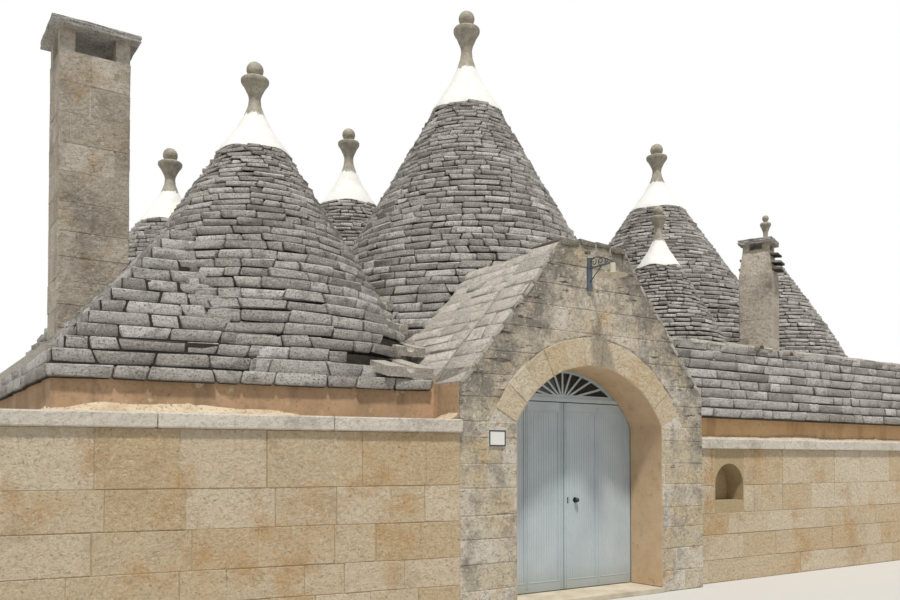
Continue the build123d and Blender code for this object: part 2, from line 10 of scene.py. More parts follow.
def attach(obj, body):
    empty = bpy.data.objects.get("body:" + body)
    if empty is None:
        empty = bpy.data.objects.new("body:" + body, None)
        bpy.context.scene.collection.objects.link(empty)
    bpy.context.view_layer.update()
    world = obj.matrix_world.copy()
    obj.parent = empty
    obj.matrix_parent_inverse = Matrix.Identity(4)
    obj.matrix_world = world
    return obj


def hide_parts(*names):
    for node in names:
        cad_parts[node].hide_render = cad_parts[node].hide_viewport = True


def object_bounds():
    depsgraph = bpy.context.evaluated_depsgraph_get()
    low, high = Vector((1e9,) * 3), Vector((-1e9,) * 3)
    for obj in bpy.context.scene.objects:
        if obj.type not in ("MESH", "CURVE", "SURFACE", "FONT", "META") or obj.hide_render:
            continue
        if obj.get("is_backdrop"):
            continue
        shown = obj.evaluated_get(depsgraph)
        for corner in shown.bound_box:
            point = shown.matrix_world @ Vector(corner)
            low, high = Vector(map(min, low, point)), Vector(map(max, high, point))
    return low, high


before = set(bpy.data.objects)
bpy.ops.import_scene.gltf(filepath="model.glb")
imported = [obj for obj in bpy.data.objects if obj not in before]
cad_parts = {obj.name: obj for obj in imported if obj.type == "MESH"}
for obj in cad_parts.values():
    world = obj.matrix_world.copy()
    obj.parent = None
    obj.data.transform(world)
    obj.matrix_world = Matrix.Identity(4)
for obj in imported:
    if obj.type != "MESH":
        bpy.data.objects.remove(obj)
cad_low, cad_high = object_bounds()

# The door's middle line is at x = 0, the gable's face at y = 0 and the ground at z = 0, in
# metres. The house is put together from the ground up: outer walls, gable, cones, caps,
# roofs, chimneys, door and small fittings.


# Outer walls: dressed limestone blocks in courses about 0.31 m high, warm cream with an orange
# block here and there and grey weathering. Each block is a shallow relief with a small
# chamfer, so that the thin lime mortar joint behind it stays a little sunk.
def linear(code):
    """A hex colour as the linear values that a shader takes."""
    channels = [int(code[i:i + 2], 16) / 255 for i in (1, 3, 5)]
    return [c / 12.92 if c <= 0.04045 else ((c + 0.055) / 1.055) ** 2.4 for c in channels] + [1]


def feed(node, inputs):
    """Sets a node's sockets to values, or links them to the sockets that feed them."""
    for socket, value in inputs.items():
        if isinstance(value, bpy.types.NodeSocket):
            node.id_data.links.new(value, node.inputs[socket])
        else:
            node.inputs[socket].default_value = value


def add_node(tree, kind, inputs=None, **settings):
    made = tree.nodes.new(kind)
    for name, value in settings.items():
        setattr(made, name, value)
    feed(made, inputs or {})
    return made


def surface(name, roughness, colours, bumps=()):
    """A material built up in coats, on the object's own coordinates. The colours are a first
    one and then coats, each (pattern, low, high, colour): that colour grows from none where
    the pattern is low to full where it is high, and may have coats of its own. A pattern is
    noise, as (size of its blotches in metres, detail, roughness, stretch), the name of a
    value that the vertices carry, a function of the place, or (pattern, share, noise) added
    up. Bumps are (pattern, depth in metres), coarse first. Stone, plaster, paint and glass
    all bend light about as much."""
    ior = 1.5
    material = bpy.data.materials.new(name)
    material.use_nodes = True
    tree = material.node_tree
    place = add_node(tree, "ShaderNodeTexCoord").outputs["Object"]
    values = {}

    def value_of(pattern):
        if pattern in values:
            return values[pattern]
        if callable(pattern):
            value = pattern(tree, place)
        elif isinstance(pattern, str):
            value = add_node(tree, "ShaderNodeAttribute", attribute_name=pattern).outputs["Fac"]
        elif isinstance(pattern[0], float):
            size, detail, rough, stretch = pattern + (0.6, (1, 1, 1))[len(pattern) - 2:]
            spread = add_node(tree, "ShaderNodeMapping", {"Vector": place, "Scale": stretch})
            value = add_node(tree, "ShaderNodeTexNoise", {
                "Vector": spread.outputs["Vector"], "Scale": 1 / size, "Detail": detail,
                "Roughness": rough}).outputs["Fac"]
        else:
            first, share, second = pattern
            value = add_node(tree, "ShaderNodeMath", {
                0: value_of(first), 1: share, 2: value_of(second)},
                operation="MULTIPLY_ADD").outputs["Value"]
        values[pattern] = value
        return value

    def built_up(colours):
        if isinstance(colours, str):
            return linear(colours)
        colour = linear(colours[0])
        for pattern, low, high, over in colours[1:]:
            share = add_node(tree, "ShaderNodeMapRange", {
                "Value": value_of(pattern), "From Min": low, "From Max": high})
            colour = add_node(tree, "ShaderNodeMix", {
                "Factor": share.outputs["Result"], 6: colour, 7: built_up(over)},
                data_type="RGBA").outputs[2]
        return colour

    normal = {}
    for pattern, depth in bumps:
        bump = add_node(tree, "ShaderNodeBump", {
            "Height": value_of(pattern), "Distance": depth, **normal})
        normal = {"Normal": bump.outputs["Normal"]}
    feed(tree.nodes["Principled BSDF"], {
        "Roughness": roughness, "IOR": ior, "Base Color": built_up(colours), **normal})
    return material


def dressed_limestone(name, colours, grey_low, grey_high, pecking=0.016):
    """Hand-dressed blocks: pecked and pitted face, soft orange patches, grey crust."""
    pale, warm, orange, grey, light, dark = colours
    grain, pits = (0.035, 5, 0.75), (0.022, 4, 0.75)
    return surface(name, 0.9, (
        pale, ("tone", 0, 1, warm), ((0.45, 7, 0.65), 0.52, 0.72, orange),
        ((0.6, 8, 0.7), grey_low, grey_high, grey), (grain, 0.52, 0.72, grey),
        (grain, 0.44, 0.28, light), (pits, 0.6, 0.74, dark)),
        (((0.09, 4), 2 * pecking), (grain, pecking), (pits, pecking)))


# Mortar is flat and sandy; the blocks' faces are matt, pecked and pitted.
sand = (0.012, 4, 0.7)
mortar = surface("Lime mortar bed", 0.95, (
    "#c0ae8e", ((0.3, 5), 0, 1, "#a8946f"), (sand, 0.4, 0.7, "#8f7c5c")), ((sand, 0.003),))
wall_stone = dressed_limestone(
    "Dressed limestone wall", ("#e3d4bb", "#d3bb95", "#c99f6a", "#b09a7b", "#eadfc9", "#6d573b"),
    grey_low=0.54, grey_high=0.82, pecking=0.02)


def shrink(outline, distance):
    """A convex outline, anticlockwise, drawn in by a distance on every side."""
    lines = []
    for here, after in zip(outline, outline[1:] + outline[:1]):
        a, b = Vector(here), Vector(after)
        along = (b - a).normalized()
        lines.append((a + Vector((-along.y, along.x)) * distance, along))
    corners = []
    for i, (q, e) in enumerate(lines):
        p, d = lines[i - 1]
        cross = d.x * e.y - d.y * e.x
        if abs(cross) < 1e-4:
            corners.append(q)
            continue
        t = ((q.x - p.x) * e.y - (q.y - p.y) * e.x) / cross
        corners.append(p + d * t)
    return corners


def clip(outline, point, inward):
    """The part of a convex outline on the inward side of a line."""
    kept = []
    for here, after in zip(outline, outline[1:] + outline[:1]):
        a = (here[0] - point[0]) * inward[0] + (here[1] - point[1]) * inward[1]
        b = (after[0] - point[0]) * inward[0] + (after[1] - point[1]) * inward[1]
        if a >= 0:
            kept.append(here)
        if (a >= 0) != (b >= 0):
            t = a / (a - b)
            kept.append((here[0] + t * (after[0] - here[0]), here[1] + t * (after[1] - here[1])))
    return kept


def area_of(outline):
    return sum(a[0] * b[1] - b[0] * a[1]
               for a, b in zip(outline, outline[1:] + outline[:1])) / 2


def ring_of(mesh, points, layer, value):
    """Vertices that carry a value in a layer."""
    ring = [mesh.verts.new(point) for point in points]
    for vert in ring:
        vert[layer] = value
    return ring


def skin_rings(mesh, rings, closed=True):
    """Faces from each ring of vertices to the next, and over both ends."""
    for low, high in zip(rings, rings[1:]):
        for i in range(len(low)):
            j = (i + 1) % len(low)
            mesh.faces.new((low[i], low[j], high[j], high[i]))
    if closed:
        mesh.faces.new(rings[-1])
        mesh.faces.new(rings[0][::-1])


def select_only(made):
    bpy.ops.object.select_all(action="DESELECT")
    made.select_set(True)
    bpy.context.view_layer.objects.active = made


def fit(made, material, slot, body="house", replaced=None, smooth=None):
    """Gives a new piece its finish, hides the frame's piece that it replaces and puts the piece
    on the body it rides on.
    """
    made.data.materials.clear()
    made.data.materials.append(material)
    if smooth:
        select_only(made)
        bpy.ops.object.shade_smooth_by_angle(angle=math.radians(smooth))
    if replaced:
        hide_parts(replaced)
    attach(made, body)


def new_object(name, data):
    made = bpy.data.objects.new(name, data)
    bpy.context.scene.collection.objects.link(made)
    return made


def piece_from(shape, name, material, slot, **fitting):
    """Makes a mesh an object and fits it; one still in the making has its faces turned out."""
    mesh = shape
    if isinstance(shape, bmesh.types.BMesh):
        bmesh.ops.recalc_face_normals(shape, faces=shape.faces)
        mesh = bpy.data.meshes.new(name)
        shape.to_mesh(mesh)
        shape.free()
    fit(new_object(name, mesh), material, slot, **fitting)


to_right, to_left, to_front, to_back = (1, 0, 0), (-1, 0, 0), (0, -1, 0), (0, 1, 0)
upwards = Vector((0, 0, 1))


class Relief:
    """Gathers blocks laid on flat faces and makes them one mesh."""

    def __init__(self, seed):
        self.mesh = bmesh.new()
        self.tone = self.mesh.verts.layers.float.new("tone")
        self.draw = random.Random(seed)

    def block(self, outline, face, proud=0.007, joint=0.005, chamfer=0.005):
        """One block: its outline on the face's plane, which maps (u, v, out) to the house."""
        least_cell, least_face, wear, bed = 0.002, 0.0005, 0.003, -0.01
        if len(outline) < 3 or area_of(outline) < least_cell:
            return
        tone = self.draw.random()
        out = proud * self.draw.uniform(0.6, 1.2)
        foot = shrink(outline, joint / 2)
        rim = shrink(outline, joint / 2 + chamfer)
        if area_of(rim) < least_face:
            return
        worn = [Vector([self.draw.uniform(-wear, wear) for _ in range(3)]) for _ in rim]
        rings = []
        for ring, height in ((foot, bed), (foot, 0.3 * out), (rim, out)):
            points = [face @ (Vector((*p, height)) + off) for p, off in zip(ring, worn)]
            rings.append(ring_of(self.mesh, points, self.tone, tone))
        skin_rings(self.mesh, rings)

    def courses(self, face, width, height, course, length, outline=(), keep=None, levels=(),
                **look):
        """Coursed blocks over a rectangle: outline clips them, keep lets them through, and
        levels are heights where a course has to end."""
        least_rise, least_run, tilting = 0.02, 0.04, 0.006
        draw = self.draw
        v = 0.0
        while v < height - least_rise:
            rise = course * draw.uniform(0.85, 1.15)
            for level in (*levels, height):
                if v < level and level - v - rise < 0.6 * course:
                    rise = level - v
                    break
            u = -draw.uniform(0, length)
            while u < width:
                run = length * draw.uniform(0.6, 1.5)
                if width - u - run < 0.35 * length:
                    run = width - u
                tilt = draw.uniform(-tilting, tilting)
                left, right, top = max(u, 0), u + run, v + rise
                if right > least_run:
                    cell = [(a + (tilt if 0 < a < width else 0), b)
                            for a, b in ((left, v), (right, v), (right, top), (left, top))]
                    for cut in outline:
                        cell = clip(cell, *cut) if len(cell) > 2 else cell
                    if keep:
                        cell = keep(cell)
                    self.block(cell, face, **look)
                u += run
            v += rise

    def finish(self, name, material, slot="wall_stone"):
        piece_from(self.mesh, name, material, slot)


def face_plane(corner, right, out):
    """The plane of a wall's face: u to the right, v up, the third axis out of the wall."""
    matrix = Matrix((Vector(right), upwards, Vector(out))).transposed().to_4x4()
    return Matrix.Translation(corner) @ matrix


def wall_blocks(name, seed, faces, keep=None):
    """Blocks on a wall's faces, each (corner, right, out, width, height, course, length)."""
    blocks = Relief(seed)
    for corner, right, out, *sizes in faces:
        blocks.courses(face_plane((*corner, 0), right, out), *sizes, keep=keep)
    blocks.finish(name, wall_stone)


def assign(material, *names):
    """Gives the frame's own pieces their finish."""
    for name in names:
        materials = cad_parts[name].data.materials
        materials.clear()
        materials.append(material)


gable_half_width = 1.75
skew = math.radians(9)
left_end, room_left, rear_corner, right_end = -5.65, -5.2, 2.4, 11.35
left_top, right_top, eave = 1.765, 1.64, 2.3
back_left, back_right = 8.85, 6.9
right_front, right_room_front, right_room_back = 0.15, 0.6, 1.05
roof_foot = (0.48, 2.05)
along_front = Vector((math.cos(skew), -math.sin(skew), 0))
front_out = Vector((-math.sin(skew), -math.cos(skew), 0))
niche_x, niche_half, niche_sill, niche_spring = 2.446, 0.27, 1.0, 1.19


def line_y(x):
    """Where the slanting face of the left front wall stands."""
    return -(x + gable_half_width) * math.tan(skew)


def beside_niche(cell):
    """Keeps blocks clear of the arched niche."""
    if not cell:
        return cell
    us, vs = zip(*cell)
    centre = niche_x - gable_half_width
    if max(us) < centre - niche_half or min(us) > centre + niche_half \
            or max(vs) <= niche_sill or min(vs) >= niche_spring + niche_half:
        return cell
    side = -1 if sum(us) / len(us) < centre else 1
    return clip(cell, (centre + side * (niche_half + 0.01), 0), (side, 0))


# Height of the courses and usual length of the blocks: in the walls, and in the low ends.
usual = (0.31, 0.58)
lower = (0.33, 0.45)
wall_blocks("left_front_wall_blocks", 11, [
    ((left_end, line_y(left_end)), along_front, front_out,
     (-gable_half_width - left_end) / math.cos(skew), left_top, *usual)])
wall_blocks("left_side_wall_blocks", 12, [
    ((left_end, back_left), to_front, to_left, back_left - line_y(left_end), left_top, *usual)])
wall_blocks("rear_wall_blocks", 13, [
    ((rear_corner, back_left), to_left, to_back, rear_corner - room_left, eave, *usual),
    ((right_end, back_right), to_left, to_back, right_end - rear_corner, eave, *usual),
    ((rear_corner, back_right), to_back, to_right, back_left - back_right, eave, *usual),
    ((right_end, right_room_back), to_back, to_right, back_right - right_room_back, eave, *usual),
    ((right_end, right_front), to_back, to_right, right_room_front - right_front, right_top,
     *lower),
    ((right_end, right_room_front), to_back, to_right, right_room_back - right_room_front,
     roof_foot[1], *lower)])
wall_blocks("right_front_wall_blocks", 14, [
    ((gable_half_width, right_front), to_right, to_front, right_end - gable_half_width,
     right_top, *usual)], beside_niche)
assign(mortar, "left_front_wall", "left_side_wall", "right_front_wall", "rear_wall_left",
       "rear_wall_right", "right_end_wall", "right_rear_corner_wall")

# Copings: sawn limestone slabs about 1.5 m long on the low walls, with pitted pale faces
# and open joints, bedded flush with the wall behind.
coping_stone = dressed_limestone(
    "Sawn coping limestone", ("#d3ccc0", "#c6beb1", "#bfb3a0", "#989185", "#ddd8ce", "#6c665c"),
    grey_low=0.52, grey_high=0.74, pecking=0.008)
over = 0.05
coping_rise = 0.13
skin = 0.45
step = skin / math.cos(skew)


def coping(side, start, end, depth, low, seed):
    """A row of slabs along a wall's top, each with a chamfer and slightly worn edges; the
    depth runs to the back."""
    slab_run, gap, chamfer, worn = 1.5, 0.005, 0.012, 0.003
    draw = random.Random(seed)
    mesh = bmesh.new()
    layer = mesh.verts.layers.float.new("tone")
    start, end, depth = Vector(start), Vector(end), Vector(depth)
    run = end - start
    along = run.normalized()
    count = max(1, round(run.length / slab_run))
    marks = [(i + draw.uniform(-0.12, 0.12)) / count * run.length for i in range(1, count)]
    marks = [0.0, *marks, run.length]
    high = low + coping_rise
    for a, b in zip(marks, marks[1:]):
        p = start + along * (a + (gap if a else 0))
        q = start + along * (b - (gap if b < run.length else 0))
        corners = [p, q, q + depth, p + depth]
        inner = shrink(corners, chamfer)
        tone = draw.random()
        rings = [ring_of(mesh, [(*c, low) for c in inner], layer, tone)]
        for ring, z in ((corners, low + chamfer), (corners, high - chamfer), (inner, high)):
            points = [(c.x + draw.uniform(-worn, worn), c.y + draw.uniform(-worn, worn),
                       z + draw.uniform(-worn, 0)) for c in ring]
            rings.append(ring_of(mesh, points, layer, tone))
        skin_rings(mesh, rings)
    piece_from(mesh, f"{side}_coping_slabs", coping_stone, "coping_stone",
               replaced=f"{side}_coping")


coping("left_front", (left_end - over, line_y(left_end - over) - over),
       (-gable_half_width, -over), (0, step + over), left_top, 21)
coping("left_side", (left_end - over, back_left),
       (left_end - over, line_y(left_end - over) + step), (skin + over, 0), left_top, 22)
coping("right_front", (gable_half_width, right_front - over),
       (right_end + over, right_front - over), (0, skin + over), right_top, 23)


# Room walls behind the ledges: rubble under old ochre lime plaster, brown with damp below
# the eaves and worn to pale mortar in places.
def old_plaster(name, plain, shady, damp, stain, worn_away):
    cloud = (0.7, 7, 0.65)
    return surface(name, 0.92, (
        plain, (cloud, 0.35, 0.65, shady), ((0.22, 6, 0.65, (1, 1, 0.3)), 0.5, 0.7, damp),
        ((0.04, 6, 0.7), 0.54, 0.7, stain), ((0.12, 7, 0.7), 0.6, 0.7, worn_away)),
        ((cloud, 0.02), ((0.02, 4), 0.003)))


ochre_plaster = old_plaster("Old ochre lime plaster", "#bb9c7d", "#a28567", "#8a745c", "#8c7458",
                            "#c9b697")
# A lighter copy of the ochre plaster for the right room's front wall: painted sunlight, since
# that wall lies in the eave's shadow.
painted_sun_plaster = old_plaster("Ochre lime plaster with painted sunlight", "#dcb98d", "#cda577", "#b08e66",
                            "#b3906a", "#e2cfac")
assign(ochre_plaster, "left_room_front_wall", "left_room_side_wall", "left_cross_wall",
       "left_partition_walls", "back_room_wall", "alcove_front_wall", "alcove_wall",
       "right_partition_wall")
assign(painted_sun_plaster, "right_room_front_wall")

# Lime mortar on the ledges: hand-thrown along the foot of the ochre walls, thick and pale,
# feathered up the plaster in an uneven line.
ledge_mortar = surface("Pale lime ledge mortar", 0.95, (
    "#d3c4aa", ((0.22, 6), 0.4, 0.7, "#bba689"), ((0.03, 5, 0.7), 0.52, 0.66, "#8c765b")),
    (((0.05, 5), 0.012),))


def fillet(name, start, end, out, height, reach, heap, seed):
    """Mortar heaped between a ledge and the wall behind it, thinning out towards the end."""
    stride, lump, lift, let_in, bed, splashes = 0.06, 0.004, 0.004, 0.02, 0.01, 0.03
    draw = random.Random(seed)
    start, end, out = Vector(start), Vector(end), Vector(out)
    run = end - start
    count = int(run.length / stride)
    mesh = bmesh.new()
    rows = []
    level = 0.5
    for i in range(count + 1):
        foot = start + run * (i / count)
        level += draw.uniform(-0.16, 0.16)
        level = min(1.0, max(0.15, level))
        rise = height * (0.4 + 0.6 * level) * math.sin(math.pi * (heap + (1 - heap) * i / count))
        if draw.random() < splashes:
            rise *= 1.5
        depth = reach * (0.6 + 0.5 * level)
        row = []
        for part in (0.0, 0.25, 0.5, 0.75, 1.0):
            away = depth * (1 - part) ** 1.6 + lift
            z = foot.z + rise * part ** 1.4 * 0.95 + 0.012 * (1 - part) * (part > 0)
            row.append(foot + out * away + upwards * (z - foot.z)
                       + Vector([draw.uniform(-lump, lump) for _ in range(3)]))
        row += [foot - out * let_in + upwards * rise, foot - out * let_in - upwards * bed,
                foot + out * (depth + lift) - upwards * bed]
        rows.append([mesh.verts.new(point) for point in row])
    skin_rings(mesh, rows, closed=False)
    mesh.faces.new(rows[0])
    mesh.faces.new(rows[-1][::-1])
    for face in mesh.faces:
        face.smooth = True
    piece_from(mesh, name, ledge_mortar, "wall_plaster")


left_ledge = left_top + coping_rise
right_ledge = right_top + coping_rise
corner_foot = (room_left, line_y(room_left) + step, left_ledge)
mortar_end = -2.95
fillet("left_ledge_mortar", corner_foot, (mortar_end, line_y(mortar_end) + step, left_ledge),
       front_out, height=0.2, reach=0.2, heap=0.12, seed=31)
fillet("right_ledge_mortar", (gable_half_width, right_front + skin, right_ledge),
       (right_end, right_front + skin, right_ledge), to_front, height=0.09, reach=0.12, heap=0.3,
       seed=32)
fillet("side_ledge_mortar", corner_foot, (room_left, back_left, left_ledge), to_left,
       height=0.12, reach=0.14, heap=0.2, seed=33)
fillet("gable_side_mortar", (-gable_half_width, 0.02, left_ledge),
       (-gable_half_width, step, left_ledge), to_left, height=0.12, reach=0.1, heap=0.3, seed=34)

# Gable: a thick front of dressed stone, its arch turned in wedge-shaped stones. The face has
# lost its crispness: grey-black crust on the head, cleaner warm stone on the piers.
gable_shoulder, gable_top = 2.25, 3.8
gable_top_half, gable_depth = 0.48, 0.48
door_half, door_spring = 1.06, 1.88
arch_radius, ring_depth = 1.2, 0.3
arch_centre = door_spring - math.sqrt(arch_radius ** 2 - door_half ** 2)
start_angle = math.asin((door_spring - arch_centre) / arch_radius)


def edge_of_gable(tree, place):
    """From 0 on the piers to 1 at the sloping edges of the head."""
    lean, climb, clean, crusted = 0.773, 0.634, 2.15, 2.8
    parts = add_node(tree, "ShaderNodeSeparateXYZ", {"Vector": place})
    across = add_node(tree, "ShaderNodeMath", {0: parts.outputs["X"]}, operation="ABSOLUTE")
    up = add_node(tree, "ShaderNodeMath", {0: parts.outputs["Z"], 1: climb},
                  operation="MULTIPLY")
    towards = add_node(tree, "ShaderNodeMath", {
        0: across.outputs["Value"], 1: lean, 2: up.outputs["Value"]}, operation="MULTIPLY_ADD")
    return add_node(tree, "ShaderNodeMapRange", {
        "Value": towards.outputs["Value"], "From Min": clean,
        "From Max": crusted}).outputs["Result"]


grain = (0.045, 5, 0.78)
pits = (0.02, 4, 0.75, (1, 1, 1.6))
head_crust = surface("Crusted gable limestone", 0.93, (
    "#e3dacb", ("tone", 0, 1, "#d4c6aa"), ((0.35, 7, 0.65), 0.5, 0.74, "#ceae80"),
    ((edge_of_gable, 0.2, (0.3, 9, 0.72)), 0.48, 0.7, "#8b8479"),
    (grain, 0.52, 0.7, "#8d8476"), (grain, 0.44, 0.3, "#ece6da"), (pits, 0.58, 0.68, "#453d33"),
    ((edge_of_gable, 0.1, (0.14, 5, 0.7, (0.5, 0.5, 2.5))), 0.62, 0.7, "#4d463b")),
    (((0.14, 5), 0.04), (grain, 0.02), (pits, 0.014)))
arch_stone = dressed_limestone(
    "Worn arch limestone", ("#ddcfb6", "#cfba96", "#c6a577", "#a2947c", "#e9dfcb", "#645742"),
    grey_low=0.56, grey_high=0.8)


def on_arch(i, count, radius):
    """A place on the arch, over the middle of the doorway, at a share of its sweep."""
    angle = start_angle + (math.pi - 2 * start_angle) * i / count
    return radius * math.cos(angle), arch_centre + radius * math.sin(angle)


def outside_arch(cell):
    """The part of a block that lies outside the arch ring, or beside the doorway."""
    if len(cell) < 3:
        return cell
    u = sum(p[0] for p in cell) / len(cell) - gable_half_width
    v = sum(p[1] for p in cell) / len(cell)
    if v < door_spring:
        side = 1 if u > 0 else -1
        return clip(cell, (gable_half_width + side * door_half, 0), (side, 0))
    towards = Vector((u, v - arch_centre)).normalized()
    touch = Vector((gable_half_width, arch_centre)) + towards * (arch_radius + ring_depth)
    return clip(cell, touch, towards)


slope = Vector((gable_half_width - gable_top_half, gable_top - gable_shoulder)).normalized()
block_top = gable_top + 0.05
gable_cuts = [((2 * gable_half_width, gable_shoulder), (-slope.y, -slope.x)),
              ((0, gable_shoulder), (slope.y, -slope.x)),
              ((gable_half_width, block_top), (0, -1))]
gable_face = face_plane((-gable_half_width, 0, 0), to_right, to_front)
worn = {"proud": 0.008, "chamfer": 0.008, "joint": 0.004}
gable = Relief(41)
gable.courses(gable_face, 2 * gable_half_width, block_top, course=0.24, length=0.45,
              outline=gable_cuts, keep=outside_arch, levels=(door_spring,), **worn)
gable.finish("gable_blocks", head_crust)
ring_stones = Relief(42)
wedges = 11
for i in range(wedges):
    wedge = [(gable_half_width + x, z) for x, z in (
        on_arch(i + 1, wedges, arch_radius), on_arch(i, wedges, arch_radius),
        on_arch(i, wedges, arch_radius + ring_depth),
        on_arch(i + 1, wedges, arch_radius + ring_depth))]
    ring_stones.block(wedge, gable_face, **worn)
ring_stones.finish("arch_ring_stones", arch_stone)
assign(head_crust, "gable_left_pier", "gable_right_pier", "gable_arch_head")


def new_cube(name):
    bpy.ops.object.select_all(action="DESELECT")
    bpy.ops.mesh.primitive_cube_add(size=1)
    bpy.context.object.name = name
    return bpy.context.object


skim = 0.006
for name, side, low, front in (("left", -1, left_ledge, 0.015),
                               ("right", 1, right_ledge, right_front)):
    made = new_cube(f"gable_side_plaster_{name}")
    middle = (side * (gable_half_width + skim / 2), (front + gable_depth) / 2,
              (low + gable_shoulder) / 2)
    made.data.transform(Matrix.Translation(middle) @ Matrix.Diagonal(
        (skim, gable_depth - front, gable_shoulder - low, 1)))
    fit(made, ochre_plaster, "wall_plaster")

# Reveal of the doorway: smooth tan lime plaster on the soffit and the jambs, a thin lining
# over the stone.
cloud = (0.35, 5)
soffit_plaster = surface("Smooth tan soffit plaster", 0.85, (
    "#cfb697", (cloud, 0.3, 0.7, "#bfa280"), ((0.09, 7, 0.7), 0.56, 0.74, "#a38a6b")),
    ((cloud, 0.01), ((0.03, 3), 0.002)))
lining = bmesh.new()
lip, deep, arch_parts, centre_z = 0.006, 0.0096, 40, 1.0
face_y, lip_y, back_y = -0.004, 0.012, gable_depth - 0.002
jamb = (0.06, 0.6, 1.2, door_spring)
path = [(door_half, z) for z in jamb]
path += [on_arch(i, arch_parts, arch_radius) for i in range(arch_parts + 1)]
path += [(-door_half, z) for z in jamb[-2::-1]]
rows = []
for x, z in path:
    inward = Vector((-x, centre_z - z)) if z > door_spring else Vector((-x, 0))
    inward.normalize()
    rows.append([lining.verts.new((x + inward.x * sunk, y, z + inward.y * sunk))
                 for y, sunk in ((face_y, 0.0), (face_y, lip), (lip_y, deep), (back_y, deep),
                                 (back_y, 0.0))])
skin_rings(lining, rows)
bmesh.ops.remove_doubles(lining, verts=lining.verts, dist=0.0005)
piece_from(lining, "doorway_lining", soffit_plaster, "wall_plaster", smooth=40)
assign(soffit_plaster, "passage_walls")

# Cones: courses of rough limestone slabs laid dry without mortar, each course a little
# inside the one below, thick and long at the eave and thin and short near the cap. The
# joints are open, dark with growth and with painted shade under each slab, and the masonry
# behind them is sunk and painted near-black as shade.

# Each cone: its middle, its radius at the eave, at the knee and that height, its radius at
# the cap and that height, and the height of its ball.
cone_shapes = {
    "front_left": (-2.8, 2.68, 2.08, 1.56, 3.2, 0.41, 5.03, 6.04),
    "main": (0.63, 3.27, 2.7, 1.9, 4.0, 0.484, 6.52, 7.91),
    "back_left": (-2.7, 6.48, 2.35, 1.45, 3.8, 0.47, 5.1, 6.2),
    "back": (0.5, 6.73, 2.3, 1.5, 4.05, 0.48, 6.0, 7.29),
    "small": (3.16, 1.93, 1.2, 0.91, 3.3, 0.31, 4.34, 5.19),
    "right": (5.8, 4.35, 2.55, 1.64, 4.5, 0.495, 6.19, 7.38),
    "far_right": (9.25, 4.45, 2.2, 1.27, 4.13, 0.29, 5.65, 6.65),
}
# What stands among the cones: chimneys (middle, size, turn), gutter trays (middle, width,
# length), the courses over the front left corner, and the roofs behind the gable and on the
# right wing, whose foot, ridge and back are (y, z).
chimneys = {
    "left": ((-4.465, 3.37), (0.72, 0.6), 0),
    "right": ((4.59, 1.25), (0.46, 0.46), math.radians(22)),
}
trays = (((-1.54, 2.65, 3.76), 0.22, 0.46), ((-1.45, 2.25, 3.4), 0.26, 0.46),
         ((-1.5, 1.85, 3.05), 0.3, 0.46), ((-1.68, 1.28, 2.72), 0.36, 0.52),
         ((-2.05, 0.76, 2.45), 0.52, 0.72))
corner_rows, corner_rise, corner_step = 12, 0.13, 0.115
corner_x, corner_y = cone_shapes["front_left"][:2]
corner_back = 2 * corner_y - line_y(room_left) - step
saddle_low, saddle_high, saddle_end = eave, gable_top - 0.04, 2.6
roof_ridge, roof_back = (1.0, 3.12), (2.4, 2.3)


def cone_radius(shape, z):
    _, _, base, knee, knee_z, cap, cap_z, _ = shape
    if z < knee_z:
        return base + (knee - base) * (z - eave) / (knee_z - eave)
    return knee + (cap - knee) * (z - knee_z) / (cap_z - knee_z)


def saddle_height(x):
    """Height of the gable's roof over a place across it."""
    across = abs(x)
    if across > gable_half_width:
        return 0
    share = (gable_half_width - across) / (gable_half_width - gable_top_half)
    return saddle_low + min(share, 1) * (saddle_high - saddle_low)


def wing_height(x, y):
    """Height of the right wing's roof over a place."""
    if x < door_half or not roof_foot[0] < y < roof_back[0]:
        return 0
    foot = roof_foot if y < roof_ridge[0] else roof_back
    return foot[1] + (roof_ridge[1] - foot[1]) * (y - foot[0]) / (roof_ridge[0] - foot[0])


def corner_height(x, y):
    """Height of the courses that fill the front left corner, over a place."""
    inset = min(x - room_left, y - line_y(x) - step, corner_back - y)
    if x > corner_x or inset <= 0:
        return 0
    return eave + corner_rise * min(corner_rows, 1 + inset / corner_step)


def in_cone(point, margin, but=None):
    below_eave = 0.3
    for name, shape in cone_shapes.items():
        if name != but and eave - below_eave < point.z < shape[6]:
            reach = cone_radius(shape, max(point.z, eave)) - margin
            if math.hypot(point.x - shape[0], point.y - shape[1]) < reach:
                return True
    return False


def in_chimney(point, margin):
    for centre, size, turn in chimneys.values():
        spot = Matrix.Rotation(-turn, 2) @ (point.to_2d() - Vector(centre))
        if abs(spot.x) < size[0] / 2 + margin and abs(spot.y) < size[1] / 2 + margin:
            return True
    return False


def by_tray(x, y, z):
    spare = 0.06
    return any(abs(x - tray_x) < width / 2 and abs(y - tray_y) < length / 2 + spare
               and tray_z - spare < z < tray_z + spare
               for (tray_x, tray_y, tray_z), width, length in trays)


def buried(point, but=None):
    """True where a stone would lie well inside a neighbour."""
    margin, saddle_back = 0.12, 3.0
    x, y, z = point
    if in_cone(point, margin, but) or in_chimney(point, 0.02) or by_tray(x, y, z):
        return True
    over_it = [corner_height(x, y), wing_height(x, y)]
    if y < saddle_back:
        over_it.append(saddle_height(x))
    return z < max(over_it) - margin
